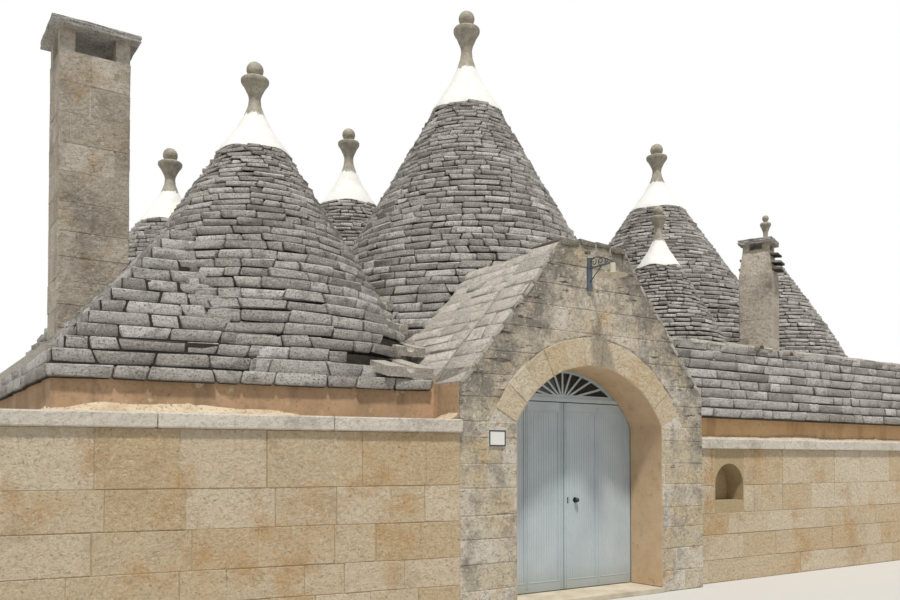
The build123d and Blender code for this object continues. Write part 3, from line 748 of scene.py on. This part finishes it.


# One slab, as a bevelled cube: the side each corner is on, and where it is drawn in. Painted
# shade with dark growth is full on the underside and weaker on the ends, and the lower edges
# are more worn.
cube = new_cube("slab")
bpy.ops.object.mode_set(mode="EDIT")
bpy.ops.mesh.select_all(action="SELECT")
bpy.ops.mesh.bevel(offset=0.1, segments=1, affect="EDGES")
bpy.ops.object.mode_set(mode="OBJECT")
slab_points = numpy.array([v.co[:] for v in cube.data.vertices])
slab_faces = [list(face.vertices) for face in cube.data.polygons]
bpy.data.objects.remove(cube)
slab_signs, slab_inner = numpy.sign(slab_points), numpy.abs(slab_points) < 0.49
on_bottom = ~slab_inner[:, 2] & (slab_signs[:, 2] < 0)
slab_shade_and_growth = numpy.where(on_bottom, 1.0, numpy.where(~slab_inner[:, 0], 0.6, 0.0))
slab_wear = numpy.where(slab_signs[:, 2:] < 0, 1.5, 0.9)


class Slabs:
    """Gathers rough slabs and makes them one mesh."""

    def __init__(self, seed):
        self.draw = numpy.random.default_rng(seed)
        self.points = []
        self.tones = []

    def lay(self, size, chamfer, rough, place, ends=(0, 0)):
        """A slab of a size (along, depth, height), with slanting ends, moved by a function."""
        half = numpy.array(size) / 2
        drawn = numpy.minimum(half * 0.45, chamfer * slab_wear)
        points = slab_signs * (half - slab_inner * drawn)
        points += self.draw.uniform(-1, 1, points.shape) * rough
        points[:, 0] += points[:, 2] * numpy.where(slab_signs[:, 0] < 0, ends[0], ends[1])
        self.points.append(place(points))
        self.tones.append(self.draw.random())

    def finish(self, name, material, slot="roof_stone"):
        count = len(slab_signs)
        faces = [[i * count + v for v in face]
                 for i in range(len(self.points)) for face in slab_faces]
        mesh = bpy.data.meshes.new(name)
        mesh.from_pydata(numpy.concatenate(self.points).tolist(), [], faces)
        for key, values in (("tone", numpy.repeat(self.tones, count)),
                            ("growth", numpy.tile(slab_shade_and_growth, len(self.points)))):
            mesh.attributes.new(key, "FLOAT", "POINT").data.foreach_set("value", values)
        piece_from(mesh, name, material, slot, smooth=50)


def slab_stone(name, dull, plain, bright, blotch, specks, joint="#2b2721"):
    """Rough slabs: each its own grey, bedding streaks, blotches, and in the joints dark growth
    with painted shade.
    """
    patch, streak, grain = (0.13, 7, 0.68), (0.09, 6, 0.7, (1, 1, 3)), (0.018, 4, 0.75)
    return surface(name, 0.92, (
        dull, ("tone", 0.0, 0.5, plain), ("tone", 0.6, 1.0, bright), (patch, 0.5, 0.68, blotch),
        (streak, 0.56, 0.72, dull), (streak, 0.42, 0.3, bright), (grain, 0.53, 0.65, specks),
        # The joint colour covers each slab's underside and, less, its ends: by default
        # near-black, painted shade with dark growth; on lime-smeared slabs a pale lime.
        (grain, 0.43, 0.32, bright), ("growth", 0.25, 0.9, joint)),
        ((patch, 0.03), (streak, 0.026), (grain, 0.012)))


grey_slab = slab_stone("Weathered grey limestone slab", "#a5a099", "#c1bdb7", "#dcd9d4",
                       "#918c85", "#655f57")
# Masonry behind the slabs, painted near-black as the shade deep in the open joints.
painted_shade_core = surface("Dry stone core painted dark as shade", 0.97, (
    "#3b362e", ((0.06, 5), 0, 1, "#27231d")), (((0.04, 4), 0.02),))


def sunk_core(name):
    """The masonry behind a cone's slabs: its outer face drawn in, so that the joints are deep,
    and painted near-black as shade.
    """
    face_depth, sunk = 0.12, 0.07
    shape = cone_shapes[name]
    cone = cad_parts[f"{name}_cone"]
    data = cone.data.copy()
    data.transform(cone.matrix_world)
    for vert in data.vertices:
        away = Vector((vert.co.x - shape[0], vert.co.y - shape[1], 0))
        if away.length > cone_radius(shape, vert.co.z) - face_depth:
            vert.co -= away.normalized() * sunk
    piece_from(data, f"{name}_cone_core", painted_shade_core, "cone_stone", replaced=f"{name}_cone")


def run_of_slabs(draw, start, last, run, face=1, slanting=0.4):
    """Middle, length and slanting ends of each slab from start to last: in metres, or in
    radians round a face of that radius."""
    at, slant = start, 0.0
    while at < last - 0.02:
        length = run * draw.uniform(0.5, 1.6) / face
        end_slant = draw.uniform(-slanting, slanting)
        if last - at - length < 0.4 * run / face:
            length, end_slant = last - at, 0.0
        yield at + length / 2, length, (slant, end_slant)
        slant = end_slant
        at += length


def ring_place(centre, reach, middle, lift, fall):
    """Places slab points (along, out, up) on a ring round an upright axis."""
    side = numpy.array((-math.sin(middle), math.cos(middle)))
    away = numpy.array((math.cos(middle), math.sin(middle)))

    def place(points):
        radial = reach + points[:, 1]
        flat = numpy.array(centre) + radial[:, None] * away + points[:, :1] * side
        return numpy.column_stack((flat, lift + points[:, 2] + fall * points[:, 0]))

    return place


def lay_cone(name, seed, eave_course, top_course, longest, shortest):
    """All the slabs of one cone, course by course."""
    depth, open_joint, chamfer, below, hang, proud = 0.16, 0.005, 0.014, 0.02, 0.03, 0.004
    shape = cone_shapes[name]
    centre, cap_z = shape[:2], shape[6]
    ring = Slabs(seed)
    draw = ring.draw
    beds = [eave - below]
    while beds[-1] < cap_z:
        share = (beds[-1] - eave) / (cap_z - eave)
        beds.append(beds[-1] + (eave_course + (top_course - eave_course) * share)
                    * draw.uniform(0.9, 1.1))
    stretch = (cap_z - beds[0]) / (beds[-1] - beds[0])
    beds = [beds[0] + (bed - beds[0]) * stretch for bed in beds]
    wave = 0.0
    for low, high in zip(beds, beds[1:]):
        middle_z = (low + high) / 2
        share = (middle_z - eave) / (cap_z - eave)
        run = longest + (shortest - longest) * share
        face = cone_radius(shape, middle_z) + (hang if low < eave else proud)
        angle = draw.uniform(0, 2)
        wave += draw.uniform(-0.5, 0.5)
        for middle, turn, ends in run_of_slabs(draw, angle, angle + 2 * math.pi, run, face, 0.45):
            spot = Vector((centre[0] + face * math.cos(middle),
                           centre[1] + face * math.sin(middle), middle_z))
            if not buried(spot, but=name):
                height = high - low - draw.uniform(0.01, 0.02)
                lift = (low + height / 2 + 0.012 * math.sin(3 * middle + wave)
                        + draw.uniform(-0.003, 0.003))
                reach = face + draw.uniform(-0.01, 0.01) - depth / 2
                place = ring_place(centre, reach, middle, lift, draw.uniform(-0.02, 0.02))
                ring.lay((turn * face - open_joint, depth, height), chamfer,
                         min(0.008, height / 10), place, ends)
    ring.finish(f"{name}_cone_slabs", grey_slab, "cone_stone")
    sunk_core(name)


# Heights of the courses at the eave and at the cap, and lengths of the slabs there.
for seed, (name, *sizes) in enumerate((
        ("front_left", 0.145, 0.055, 0.38, 0.2), ("main", 0.135, 0.058, 0.36, 0.2),
        ("back_left", 0.135, 0.07, 0.38, 0.2), ("back", 0.13, 0.065, 0.38, 0.2),
        ("small", 0.078, 0.055, 0.27, 0.16), ("right", 0.095, 0.068, 0.36, 0.2),
        ("far_right", 0.098, 0.068, 0.36, 0.18)), 51):
    lay_cone(name, seed, *sizes)

# Caps and pinnacles: hand-smoothed lime plaster over the topmost stones, limewashed white
# as far as a paint line on the neck, then a bare grey neck, a flared cup and a ball.
cap_plaster = surface("Limewashed cap plaster", 0.7, (
    "#aaa393", ((0.08, 6), 0.4, 0.65, "#8a8375"), ((0.02, 4), 0.6, 0.7, "#6c665b"),
    (("limewash", 1, (0.05, 3)), 1.2, 1.3, (
        "#efeeea", ((0.2, 6), 0.45, 0.7, "#e3e1da"),
        ((0.05, 5, 0.6, (1, 1, 0.25)), 0.68, 0.8, "#c9c6bd")))),
    (((0.12, 3), 0.012), ((0.015, 3), 0.002)))
# Radius as a share of the cap's, and height as a share of the rise from the cap to the ball.
cap_outline = ((1.04, -0.012), (1.03, 0.006), (0.87, 0.086), (0.705, 0.187), (0.52, 0.288),
               (0.341, 0.424), (0.26, 0.496), (0.185, 0.58), (0.163, 0.652), (0.175, 0.69),
               (0.207, 0.724), (0.3, 0.8), (0.375, 0.842), (0.39, 0.858), (0.39, 0.885),
               (0.36, 0.9), (0.14, 0.905))
paint_line = 0.44


def make_cap(name, seed):
    """Spins a cap's outline into a closed form and gives it the hand's unevenness."""
    x, y, _, _, _, cap_r, cap_z, ball_z = cone_shapes[name]
    turns, ball_parts, ball_share, neck_share = 32, 10, 0.238, 0.14
    rise = ball_z - cap_z
    ball = ball_share * cap_r
    draw = random.Random(seed)
    mesh = bmesh.new()
    white = mesh.verts.layers.float.new("limewash")
    profile = [(r * cap_r, cap_z + h * rise) for r, h in cap_outline]
    start = -math.acos(neck_share / ball_share)
    for i in range(ball_parts):
        angle = start + (math.pi / 2 - start) * i / ball_parts
        profile.append((ball * math.cos(angle), ball_z + ball * math.sin(angle)))
    phases = [draw.uniform(0, 6.28) for _ in range(3)]
    rings = []
    for r, z in profile:
        ring = []
        for i in range(turns):
            a = 2 * math.pi * i / turns
            sway = 1 + 0.02 * math.sin(2 * a + phases[0]) * (r / cap_r) ** 0.5 \
                + 0.012 * math.sin(3 * a + phases[1] + 4 * z)
            drop = 0.015 * math.sin(5 * a + phases[2]) if z < cap_z + 0.02 * rise else 0
            ring.append((x + r * sway * math.cos(a), y + r * sway * math.sin(a), z + drop))
        rings.append(ring_of(mesh, ring, white, 0.5 if z > cap_z + paint_line * rise else 1.0))
    skin_rings(mesh, rings, closed=False)
    crown = ring_of(mesh, [(x, y, ball_z + ball)], white, 0.5)[0]
    base = ring_of(mesh, [(x, y, cap_z - 0.02)], white, 1.0)[0]
    for i in range(turns):
        j = (i + 1) % turns
        mesh.faces.new((rings[-1][i], rings[-1][j], crown))
        mesh.faces.new((rings[0][j], rings[0][i], base))
    piece_from(mesh, f"{name}_cap", cap_plaster, "cap_plaster", smooth=32,
               replaced=f"{name}_pinnacle")


for seed, name in enumerate(cone_shapes, 60):
    make_cap(name, seed)

# Roof behind the gable: thin stone courses between the gable and the main cone, smeared over
# with lime mortar. They run on over the gable's own thickness, where their ends show as a
# rough edge, and flat dark stones close the top.
smeared_lime = slab_stone("Lime-smeared roof stone", "#c4bdb2", "#d3ccc0", "#e4ddd1", "#aca59a",
                          "#857e73", "#b5aea2")
verge_stone = slab_stone("Dark weathered verge stone", "#6f685d", "#857d70", "#a1988a", "#5b5449",
                         "#4a443b")


def frame_at(corner, along=to_right, out=to_back, up=upwards):
    """Places slab points (along, out, up) at a corner with those directions."""
    corner, along, out, up = (numpy.array(v, float) for v in (corner, along, out, up))

    def place(points):
        return corner + points[:, :1] * along + points[:, 1:2] * out + points[:, 2:] * up

    return place


def lay_course(slabs, start, end, height, run, depth, up=upwards):
    """One course; its faces are on the right of the way from start to end."""
    open_joint, chamfer, rough, proud = 0.006, 0.014, 0.007, 0.01
    along = (end - start).normalized()
    out = along.cross(up)
    draw = slabs.draw
    for at, length, ends in run_of_slabs(draw, 0.0, (end - start).length, run):
        middle = start + along * at
        if not buried(middle):
            spot = middle + out * (draw.uniform(-0.01, 0.01) - depth / 2 + proud)
            size = (length - open_joint, depth, height - draw.uniform(0.008, 0.018))
            slabs.lay(size, chamfer, rough, frame_at(spot, along, out, up), ends)


def lay_slope(slabs, start, end, climb, rows, run, depth, lying=False):
    """Level courses up a climb, one above the other, or lying with their faces along it."""
    start, end, climb = Vector(start), Vector(end), Vector(climb)
    height, up = climb.z / rows, upwards
    if lying:
        overlap = 0.006
        height, up = climb.length / rows + overlap, climb.normalized()
    for row in range(rows):
        step_up = Vector((climb.x * row, climb.y * row, climb.z * (row + 0.5))) / rows
        if lying:
            step_up = climb * ((row + 0.5) / rows)
        lay_course(slabs, start + step_up, end + step_up, height, run, depth, up)


def end_to_end(draw, left, right, shortest, longest, spare=0.0):
    """Middles and lengths of stones laid one after another."""
    at = left
    while at < right - spare:
        length = min(draw.uniform(shortest, longest), right - at)
        yield at + length / 2, length
        at += length


saddle = Slabs(71)
verge = Slabs(72)
verge_front = -0.012
for side in (-1, 1):
    foot = side * gable_half_width
    climb = (-side * (gable_half_width - gable_top_half), 0, saddle_high - saddle_low)
    ends = [(foot, y, saddle_low) for y in (gable_depth, saddle_end)]
    lay_slope(saddle, *ends[::side], climb, rows=13, run=0.42, depth=0.06, lying=True)
    climb = (climb[0], 0, gable_top - gable_shoulder)
    ends = [(foot, y, gable_shoulder) for y in (verge_front, gable_depth)]
    lay_slope(verge, *ends[::side], climb, rows=10, run=0.5, depth=0.06, lying=True)
ridge_rows, ridge_run = 6, 0.26
for row in range(ridge_rows):
    for middle, length in end_to_end(saddle.draw, -gable_top_half, gable_top_half, 0.2, 0.45,
                                     0.05):
        spot = Vector((middle, gable_depth + ridge_run * (row + 0.5), saddle_high - 0.03))
        if not buried(spot):
            saddle.lay((length - 0.006, 0.25, 0.09), 0.012, 0.006, frame_at(spot))
saddle.finish("saddle_roof_slabs", smeared_lime)
crown = Slabs(77)
for middle, length in end_to_end(verge.draw, -gable_top_half, gable_top_half, 0.2, 0.34, 0.03):
    arched = gable_top + 0.06 * (1 - (middle / gable_top_half) ** 2)
    crown.lay((length - 0.006, gable_depth + 0.02, 0.07), 0.014, 0.008,
              frame_at((middle, gable_depth / 2 - 0.01, arched - 0.03)))
verge.finish("gable_verge_stones", smeared_lime, "wall_stone")
crown.finish("gable_crown_slabs", verge_stone, "wall_stone")

# Right wing: a steep roof of long slabs in steps, smeared with lime along its ridge and round
# the chimney. The cores of the roofs lie behind their slabs, painted near-black as shade.
wing = Slabs(73)
for start, end, foot, depth in ((door_half, right_end, roof_foot, 0.16),
                                (right_end, gable_half_width, roof_back, 0.26)):
    lay_slope(wing, (start, *foot), (end, *foot),
              (0, roof_ridge[0] - foot[0], roof_ridge[1] - foot[1]), rows=8, run=0.4, depth=depth)
wing.finish("right_roof_slabs", grey_slab)
ridge = Slabs(76)
for middle, length in end_to_end(ridge.draw, gable_half_width, right_end, 0.3, 0.6):
    spot = Vector((middle, roof_ridge[0] + 0.02, roof_ridge[1] - 0.01))
    if not in_cone(spot, 0.1) and not in_chimney(spot, 0.05):
        ridge.lay((length - 0.004, 0.2, 0.05), 0.016, 0.008, frame_at(spot))
ridge.finish("right_roof_ridge_slabs", smeared_lime)
assign(smeared_lime, "gable_saddle_roof", "roof_valleys", "valley_gutter")
# The cores of the right roof and of the front left corner take the same painted shade.
assign(painted_shade_core, "right_roof", "left_corner_courses")

# Front left corner: the lowest courses of the cone spread out over the corner of the walls,
# and a course of thicker slabs hangs over the plaster below them.
corner = Slabs(78)
eave_end, hang, lifted = -1.8, 0.05, 0.013
front_rows, rear_rows = [], []
for row in range(-1, corner_rows):
    inset = row * corner_step if row > -1 else -hang
    left, right = room_left + inset, eave_end if row < 0 else corner_x
    level = eave + (row + 0.5) * corner_rise + lifted
    rear, side, front = (Vector((x, y, level)) for x, y in (
        (left, corner_back - inset), (left, line_y(left) + step + inset),
        (right, line_y(right) + step + inset)))
    front_rows += [(rear, side), (side, front)]
    if row > -1:
        rear_rows.append((Vector((corner_x, *rear.yz)), rear))
for start, end in front_rows + rear_rows:
    lay_course(corner, start, end, corner_rise, run=0.36, depth=0.2)
corner.finish("left_corner_slabs", grey_slab, "cone_stone")

# Open edges of the level roofs: three courses of rough slabs that hang a little over the
# walls. The wing's end wall is closed with small blocks up to its ridge.
edge = Slabs(74)
edge_low, edge_in, edge_up = eave - 0.11, 0.3, 0.33
rim = [Vector((x, y, edge_low)) for x, y in (
    (room_left, corner_back), (room_left, back_left), (rear_corner, back_left),
    (rear_corner, back_right), (right_end, back_right), (right_end, roof_back[0]))]
for end, start in zip(rim, rim[1:]):
    inward = upwards.cross((end - start).normalized())
    proud = inward * -0.05
    lay_slope(edge, start + proud, end + proud, inward * edge_in + upwards * edge_up, rows=3,
              run=0.38, depth=0.3)
edge.finish("roof_edge_slabs", grey_slab)
gable_end = Relief(75)
front_slope, back_slope = (Vector((roof_ridge[0] - foot[0], roof_ridge[1] - foot[1])).normalized()
                           for foot in (roof_foot, roof_back))
for low, width, top in ((roof_foot[1], 0.57, 0.25), (roof_back[1], 1.92, 0.84)):
    near = roof_foot[0]
    cuts = [((0, roof_foot[1] - low), (front_slope.y, -front_slope.x)),
            ((roof_back[0] - near, roof_back[1] - low), (-back_slope.y, back_slope.x))]
    gable_end.courses(face_plane((right_end, near, low), to_back, to_right), width, top,
                      course=0.25, length=0.4, outline=cuts)
gable_end.finish("right_roof_end_blocks", wall_stone)

# Chimneys: squared blocks with tight joints, weathered brown and grey; four corner posts
# carry a rough covering slab over the smoke holes.
chimney_stone = dressed_limestone(
    "Chimney limestone", ("#cdc3b4", "#ada292", "#ab9473", "#7f776b", "#d9d1c3", "#575046"),
    grey_low=0.48, grey_high=0.7)


def stack_blocks(side, low, top, course, seed):
    """Blocks round the four faces of a shaft."""
    centre, size, turn = chimneys[side]
    blocks = Relief(seed)
    for quarter in range(4):
        wide, deep = size if quarter % 2 == 0 else size[::-1]
        spin = Matrix.Rotation(turn + quarter * math.pi / 2, 3, "Z")
        corner = Vector((*centre, low)) + spin @ Vector((-wide / 2, -deep / 2, 0))
        face = face_plane(corner, spin @ Vector(to_right), spin @ Vector(to_front))
        blocks.courses(face, wide, top - low, course, length=0.4, proud=0.006, joint=0.004,
                       chamfer=0.004)
    blocks.finish(f"{side}_chimney_blocks", chimney_stone, "chimney_stone")
    assign(chimney_stone, f"{side}_chimney")


def covering_slab(side, cover, low, thickness, seed):
    """A rough flat slab with chipped edges, of one even grey."""
    centre, _, turn = chimneys[side]
    made = new_cube(f"{side}_chimney_cover")
    bpy.ops.object.mode_set(mode="EDIT")
    bpy.ops.mesh.select_all(action="SELECT")
    bpy.ops.mesh.subdivide(number_cuts=7)
    bpy.ops.object.mode_set(mode="OBJECT")
    draw = random.Random(seed)
    spin = Matrix.Rotation(turn, 3, "Z")
    for vert in made.data.vertices:
        outermost = max(abs(vert.co.x), abs(vert.co.y)) > 0.49
        chipped = 2 * draw.uniform(-0.012, 0.004) if outermost else 0.0
        lift = draw.uniform(-0.006, 0.003) if vert.co.z > 0 else 0.0
        flat = Vector((vert.co.x * (cover[0] + chipped), vert.co.y * (cover[1] + chipped), 0))
        vert.co = spin @ flat + Vector((*centre, low + (vert.co.z + 0.5) * thickness + lift))
    tone = made.data.attributes.new("tone", "FLOAT", "POINT")
    tone.data.foreach_set("value", [0.4] * len(made.data.vertices))
    fit(made, grey_slab, "chimney_stone", replaced=f"{side}_chimney_slab")


stack_blocks("left", low=2.3, top=5.91, course=0.29, seed=81)
stack_blocks("right", low=2.7, top=4.26, course=0.3, seed=82)
covering_slab("left", (0.92, 0.8), low=6.15, thickness=0.075, seed=83)
covering_slab("right", (0.49, 0.49), low=4.725, thickness=0.07, seed=84)

# Flat stones let into the right chimney near its top throw rain clear of the joints, and
# half-round clay tiles, faded to a dull grey-brown, lead water off at its foot.
drips = Slabs(85)
stack_centre, _, stack_turn = chimneys["right"]
sideways = Vector((math.sin(stack_turn), -math.cos(stack_turn), 0))
stack_half, narrowing, stack_neck, neck_rise, let_in = 0.23, 0.045, 4.26, 0.37, 0.04
for side, z, reach in ((1, 4.56, 0.11), (1, 4.44, 0.14), (1, 4.34, 0.12), (-1, 4.52, 0.05),
                       (-1, 4.38, 0.05)):
    half_here = stack_half - narrowing * (z - stack_neck) / neck_rise
    spot = Vector((*stack_centre, z)) + sideways * side * (half_here + reach / 2 - let_in)
    drips.lay((reach + 2 * let_in, 0.26, 0.035), 0.006, 0.005,
              frame_at(spot, sideways - upwards * 0.1 * side, upwards.cross(sideways)))
drips.finish("right_chimney_drip_stones", verge_stone, "chimney_stone")
clay = surface("Weathered clay tile", 0.9, ("#a3988a", ((0.06, 6), 0, 1, "#6f6558")),
               (((0.03, 4), 0.006),))
outside, inside, tile_half, fall, arc_parts = 0.06, 0.047, 0.14, 0.1, 12
for number, (x, y, z) in enumerate(((4.08, 0.98, 3.11), (4.74, 0.95, 3.05)), 1):
    tile = bmesh.new()
    arc = [(outside, i) for i in range(arc_parts + 1)]
    arc += [(inside, arc_parts - i) for i in range(arc_parts + 1)]
    rows = [[tile.verts.new((x + radius * math.cos(math.pi * i / arc_parts), y + near,
                             z + radius * math.sin(math.pi * i / arc_parts) + fall * near))
             for radius, i in arc] for near in (-tile_half, tile_half)]
    skin_rings(tile, rows)
    piece_from(tile, f"ridge_tile_{number}", clay, "roof_stone", smooth=40)


# Door: pale blue-grey oil paint on pine. Narrow tongued boards fill each panel, with bead
# mouldings round them and down the meeting stiles.
def height_of(tree, place):
    return add_node(tree, "ShaderNodeSeparateXYZ", {"Vector": place}).outputs["Z"]


paint = surface("Pale blue-grey door paint", 0.42, (
    "#bac5ca", ((0.5, 6), 0.35, 0.7, "#abb6bb"),
    ((0.02, 4, 0.6, (6, 6, 0.5)), 0.68, 0.8, "#97a2a6"), (height_of, 0.3, 0.05, "#9fa6a2")),
    (((0.01, 3, 0.6, (3, 3, 0.2)), 0.0006),))
leaf_face, leaf_low, leaf_high = 0.49, 0.06, 2.145
panel_face = leaf_face + 0.012
leaf_back, panel_back = leaf_face + 0.003, panel_face + 0.003
leaf_inner, leaf_outer, stile, rail = 0.005, 1.05, 0.062, 0.095
panel_low, panel_high = leaf_low + rail, leaf_high - rail


def bar(mesh, low, high, chamfer):
    """A chamfered bar between two corners, its chamfer on the side that faces out."""
    x1, y1, z1 = low
    x2, y2, z2 = high
    rings = []
    for y, inset in ((y2, 0), (y1 + chamfer, 0), (y1, chamfer)):
        left, right, foot, top = x1 + inset, x2 - inset, z1 + inset, z2 - inset
        rings.append([mesh.verts.new((x, y, z)) for x, z in (
            (left, foot), (right, foot), (right, top), (left, top))])
    skin_rings(mesh, rings)


def dress_leaf(name, side):
    """Boards and mouldings of one leaf."""
    mesh = bmesh.new()
    boards, gap, bead = 12, 0.0007, 0.012
    panel = (leaf_outer - leaf_inner - 3 * stile) / 2
    width = panel / boards

    def strip(near, far, front, back, low, high, chamfer):
        left, right = sorted((side * near, side * far))
        bar(mesh, (left, front, low), (right, back, high), chamfer)

    for k in range(2):
        start = leaf_inner + stile + k * (panel + stile)
        for i in range(boards):
            strip(start + i * width + gap, start + (i + 1) * width - gap, panel_face - 0.005,
                  panel_back, panel_low, panel_high, 0.0018)
        for at in (start, start + panel - bead):
            strip(at, at + bead, leaf_face - 0.004, panel_back, panel_low, panel_high, 0.003)
        for z in (panel_low, panel_high - bead):
            strip(start, start + panel, leaf_face - 0.003, panel_back, z, z + bead, 0.003)
    for at, wide in ((leaf_inner + 0.006, 0.016), (leaf_inner + 0.032, 0.014)):
        strip(at, at + wide, leaf_face - 0.008, leaf_back, leaf_low + 0.004, leaf_high - 0.004,
              0.004)
    for at in (-0.018, 0.004):
        at += leaf_inner + 1.5 * stile + panel
        strip(at, at + 0.014, leaf_face - 0.007, leaf_back, leaf_low + rail * 0.4,
              leaf_high - rail * 0.4, 0.004)
    piece_from(mesh, f"{name}_boards", paint, "painted_wood", body=name)


dress_leaf("left_leaf", -1)
dress_leaf("right_leaf", 1)
assign(paint, "left_leaf", "right_leaf", "door_posts", "door_transom", "fanlight_frame")
# The knob and the keyhole plate are iron under black paint with a low sheen, and the threshold
# is limestone that feet have worn smooth.
black_iron = surface("Black painted iron", 0.38, ("#1c1c1e", ((0.02, 4), 0, 1, "#2b2a29")),
                     (((0.004, 3), 0.0003),))
assign(black_iron, "door_knob", "keyhole_plate")
assign(surface("Worn threshold stone", 0.75, ("#cfc6b3", ((0.3, 6), 0.35, 0.7, "#b0a48c")),
               (((0.08, 4), 0.004),)), "threshold", "main_room_floor")

# Fanlight: slim wooden bars spread like rays from a point just over its bottom rail, in front
# of a dark and dusty pane.
rays = bmesh.new()
ray_centre, ray_half, ray_foot = 2.175, 0.011, 0.04
ray_front, ray_back = 0.497, 0.512
rays_end = 1.175
for angle in (14, 28, 44, 67, 90, 113, 136, 152, 166):
    towards = Vector((math.cos(math.radians(angle)), math.sin(math.radians(angle))))
    reach = 0.0
    while math.hypot(reach * towards.x, ray_centre - arch_centre + reach * towards.y) < rays_end:
        reach += 0.002
    across = Vector((-towards.y, towards.x)) * ray_half
    a, b = towards * (ray_foot / towards.y), towards * reach
    rings = [[rays.verts.new((p.x, y, ray_centre + p.y))
              for p in (a + across, a - across, b - across, b + across)]
             for y in (ray_back, ray_front)]
    skin_rings(rays, rings)
piece_from(rays, "fanlight_bars", paint, "painted_wood")
assign(surface("Dusty dark window glass", 0.08, ("#15181a", ((0.4, 5), 0, 1, "#2a2e30")),
               (((0.3, 2), 0.001),)), "fanlight_glass")

# Number plaque: a white glazed tile with a dark border line, fixed with mortar, left bare.
assign(surface("White plaque glaze", 0.2, ("#e6e6e0", ((0.05, 3), 0, 1, "#d9d9d2"))),
       "house_number_plaque")
border_glaze = surface("Blue-black border glaze", 0.25, ("#2b3440", ((0.03, 3), 0, 1, "#3a4450")))
border = bmesh.new()
plaque_x, plaque_z, half_w, half_h = -1.311, 1.717, 0.1025, 0.08
for x1, z1, x2, z2 in ((-1, -1, 1, -0.82), (-1, 0.82, 1, 1), (-1, -0.82, -0.86, 0.82),
                       (0.86, -0.82, 1, 0.82)):
    bar(border, (plaque_x + x1 * half_w, -0.0205, plaque_z + z1 * half_h),
        (plaque_x + x2 * half_w, -0.0165, plaque_z + z2 * half_h), 0.001)
piece_from(border, "plaque_border", border_glaze, "plaque_ceramic")

# Lamp: wrought-iron arm with scrolls on a blue-grey backplate, and a cream enamelled shade.
assign(surface("Blue-grey painted iron", 0.5, ("#5d6a76", ((0.05, 5), 0, 1, "#454f58")),
               (((0.01, 3), 0.0005),)), "lamp_bracket")
assign(surface("Cream lamp enamel", 0.3, ("#d3cbb8", ((0.06, 4), 0, 1, "#c0b7a2"))), "lamp_shade")
arm_x = -0.07


def iron_rod(places, radius):
    """A round rod in the arm's upright plane, through (y, z) places, as a closed mesh."""
    curve = bpy.data.curves.new("scroll", "CURVE")
    curve.dimensions = "3D"
    curve.bevel_depth = radius
    curve.bevel_resolution = 2
    curve.use_fill_caps = True
    line = curve.splines.new("POLY")
    line.points.add(len(places) - 1)
    for point, place in zip(line.points, places):
        point.co = (arm_x, *place, 1)
    select_only(new_object("scroll", curve))
    bpy.ops.object.convert(target="MESH")
    return bpy.context.object


def spiral(y, z, big, small, turns):
    """Places along a flat scroll."""
    start, parts = -1.2, 28
    places = []
    for i in range(parts + 1):
        radius = big + (small - big) * (i / parts)
        angle = start + turns * 2 * math.pi * (i / parts)
        places.append((y + radius * math.cos(angle), z + radius * math.sin(angle)))
    return places


scrolls = [iron_rod(spiral(*sizes), 0.0045) for sizes in (
    (-0.09, 3.615, 0.05, 0.012, 1.4), (-0.19, 3.605, 0.04, 0.01, 1.3),
    (-0.28, 3.595, 0.03, 0.008, 1.2))]
scrolls += [iron_rod(places, 0.005) for places in (
    ((-0.02, 3.66), (-0.12, 3.665), (-0.22, 3.64), (-0.37, 3.568)),
    ((-0.02, 3.4), (-0.1, 3.47), (-0.2, 3.552)))]
select_only(scrolls[0])
for rod in scrolls:
    rod.select_set(True)
bpy.ops.object.join()
scrolls[0].name = "lamp_scrollwork"
fit(scrolls[0], black_iron, "black_iron")

# Ground for the picture only: a plain pale floor, white surroundings and one soft sun high
# on the left.
bpy.ops.mesh.primitive_plane_add(size=600, location=(0, 0, -0.003))
ground = bpy.context.object
ground.name = "ground"
ground.data.materials.append(surface("Pale studio floor", 0.9, "#c9c7c2"))
ground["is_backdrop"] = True

world = bpy.data.worlds.new("Surroundings")
bpy.context.scene.world = world
world.use_nodes = True
tree = world.node_tree
tree.nodes.clear()
path = add_node(tree, "ShaderNodeLightPath")
seen = path.outputs["Is Camera Ray"]
for ray in ("Is Transmission Ray", "Is Glossy Ray"):
    seen = add_node(tree, "ShaderNodeMath", {0: seen, 1: path.outputs[ray]},
                    operation="MAXIMUM").outputs["Value"]
sky = add_node(tree, "ShaderNodeBackground", {"Color": linear("#e3e9f0"), "Strength": 0.5})
white = add_node(tree, "ShaderNodeBackground", {"Color": (1, 1, 1, 1), "Strength": 1.0})
both = add_node(tree, "ShaderNodeMixShader", {
    0: seen, 1: sky.outputs["Background"], 2: white.outputs["Background"]})
add_node(tree, "ShaderNodeOutputWorld", {"Surface": both.outputs["Shader"]})

sun_data = bpy.data.lights.new("Sun", "SUN")
sun_data.energy = 3.1
sun_data.angle = math.radians(5)
sun_data.color = (1.0, 0.96, 0.9)
sun = new_object("Sun", sun_data)
sun.rotation_euler = Vector((-0.22, -0.366, 0.905)).to_track_quat("Z", "Y").to_euler()
sun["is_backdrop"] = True

camera_data = bpy.data.cameras.new("Camera")
camera_data.lens = 34
camera_data.sensor_width = 36
camera_data.shift_y = 0.1533
camera_data.clip_end = 300
camera = new_object("Camera", camera_data)
camera.location = (-6.391, -6.71, 1.5)
camera.rotation_euler = (math.radians(91.5), 0, math.radians(-34))
bpy.context.scene.camera = camera
bpy.context.scene.view_settings.view_transform = "Standard"

low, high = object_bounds()
{"cad": [list(cad_low), list(cad_high)], "looks": [list(low), list(high)]}
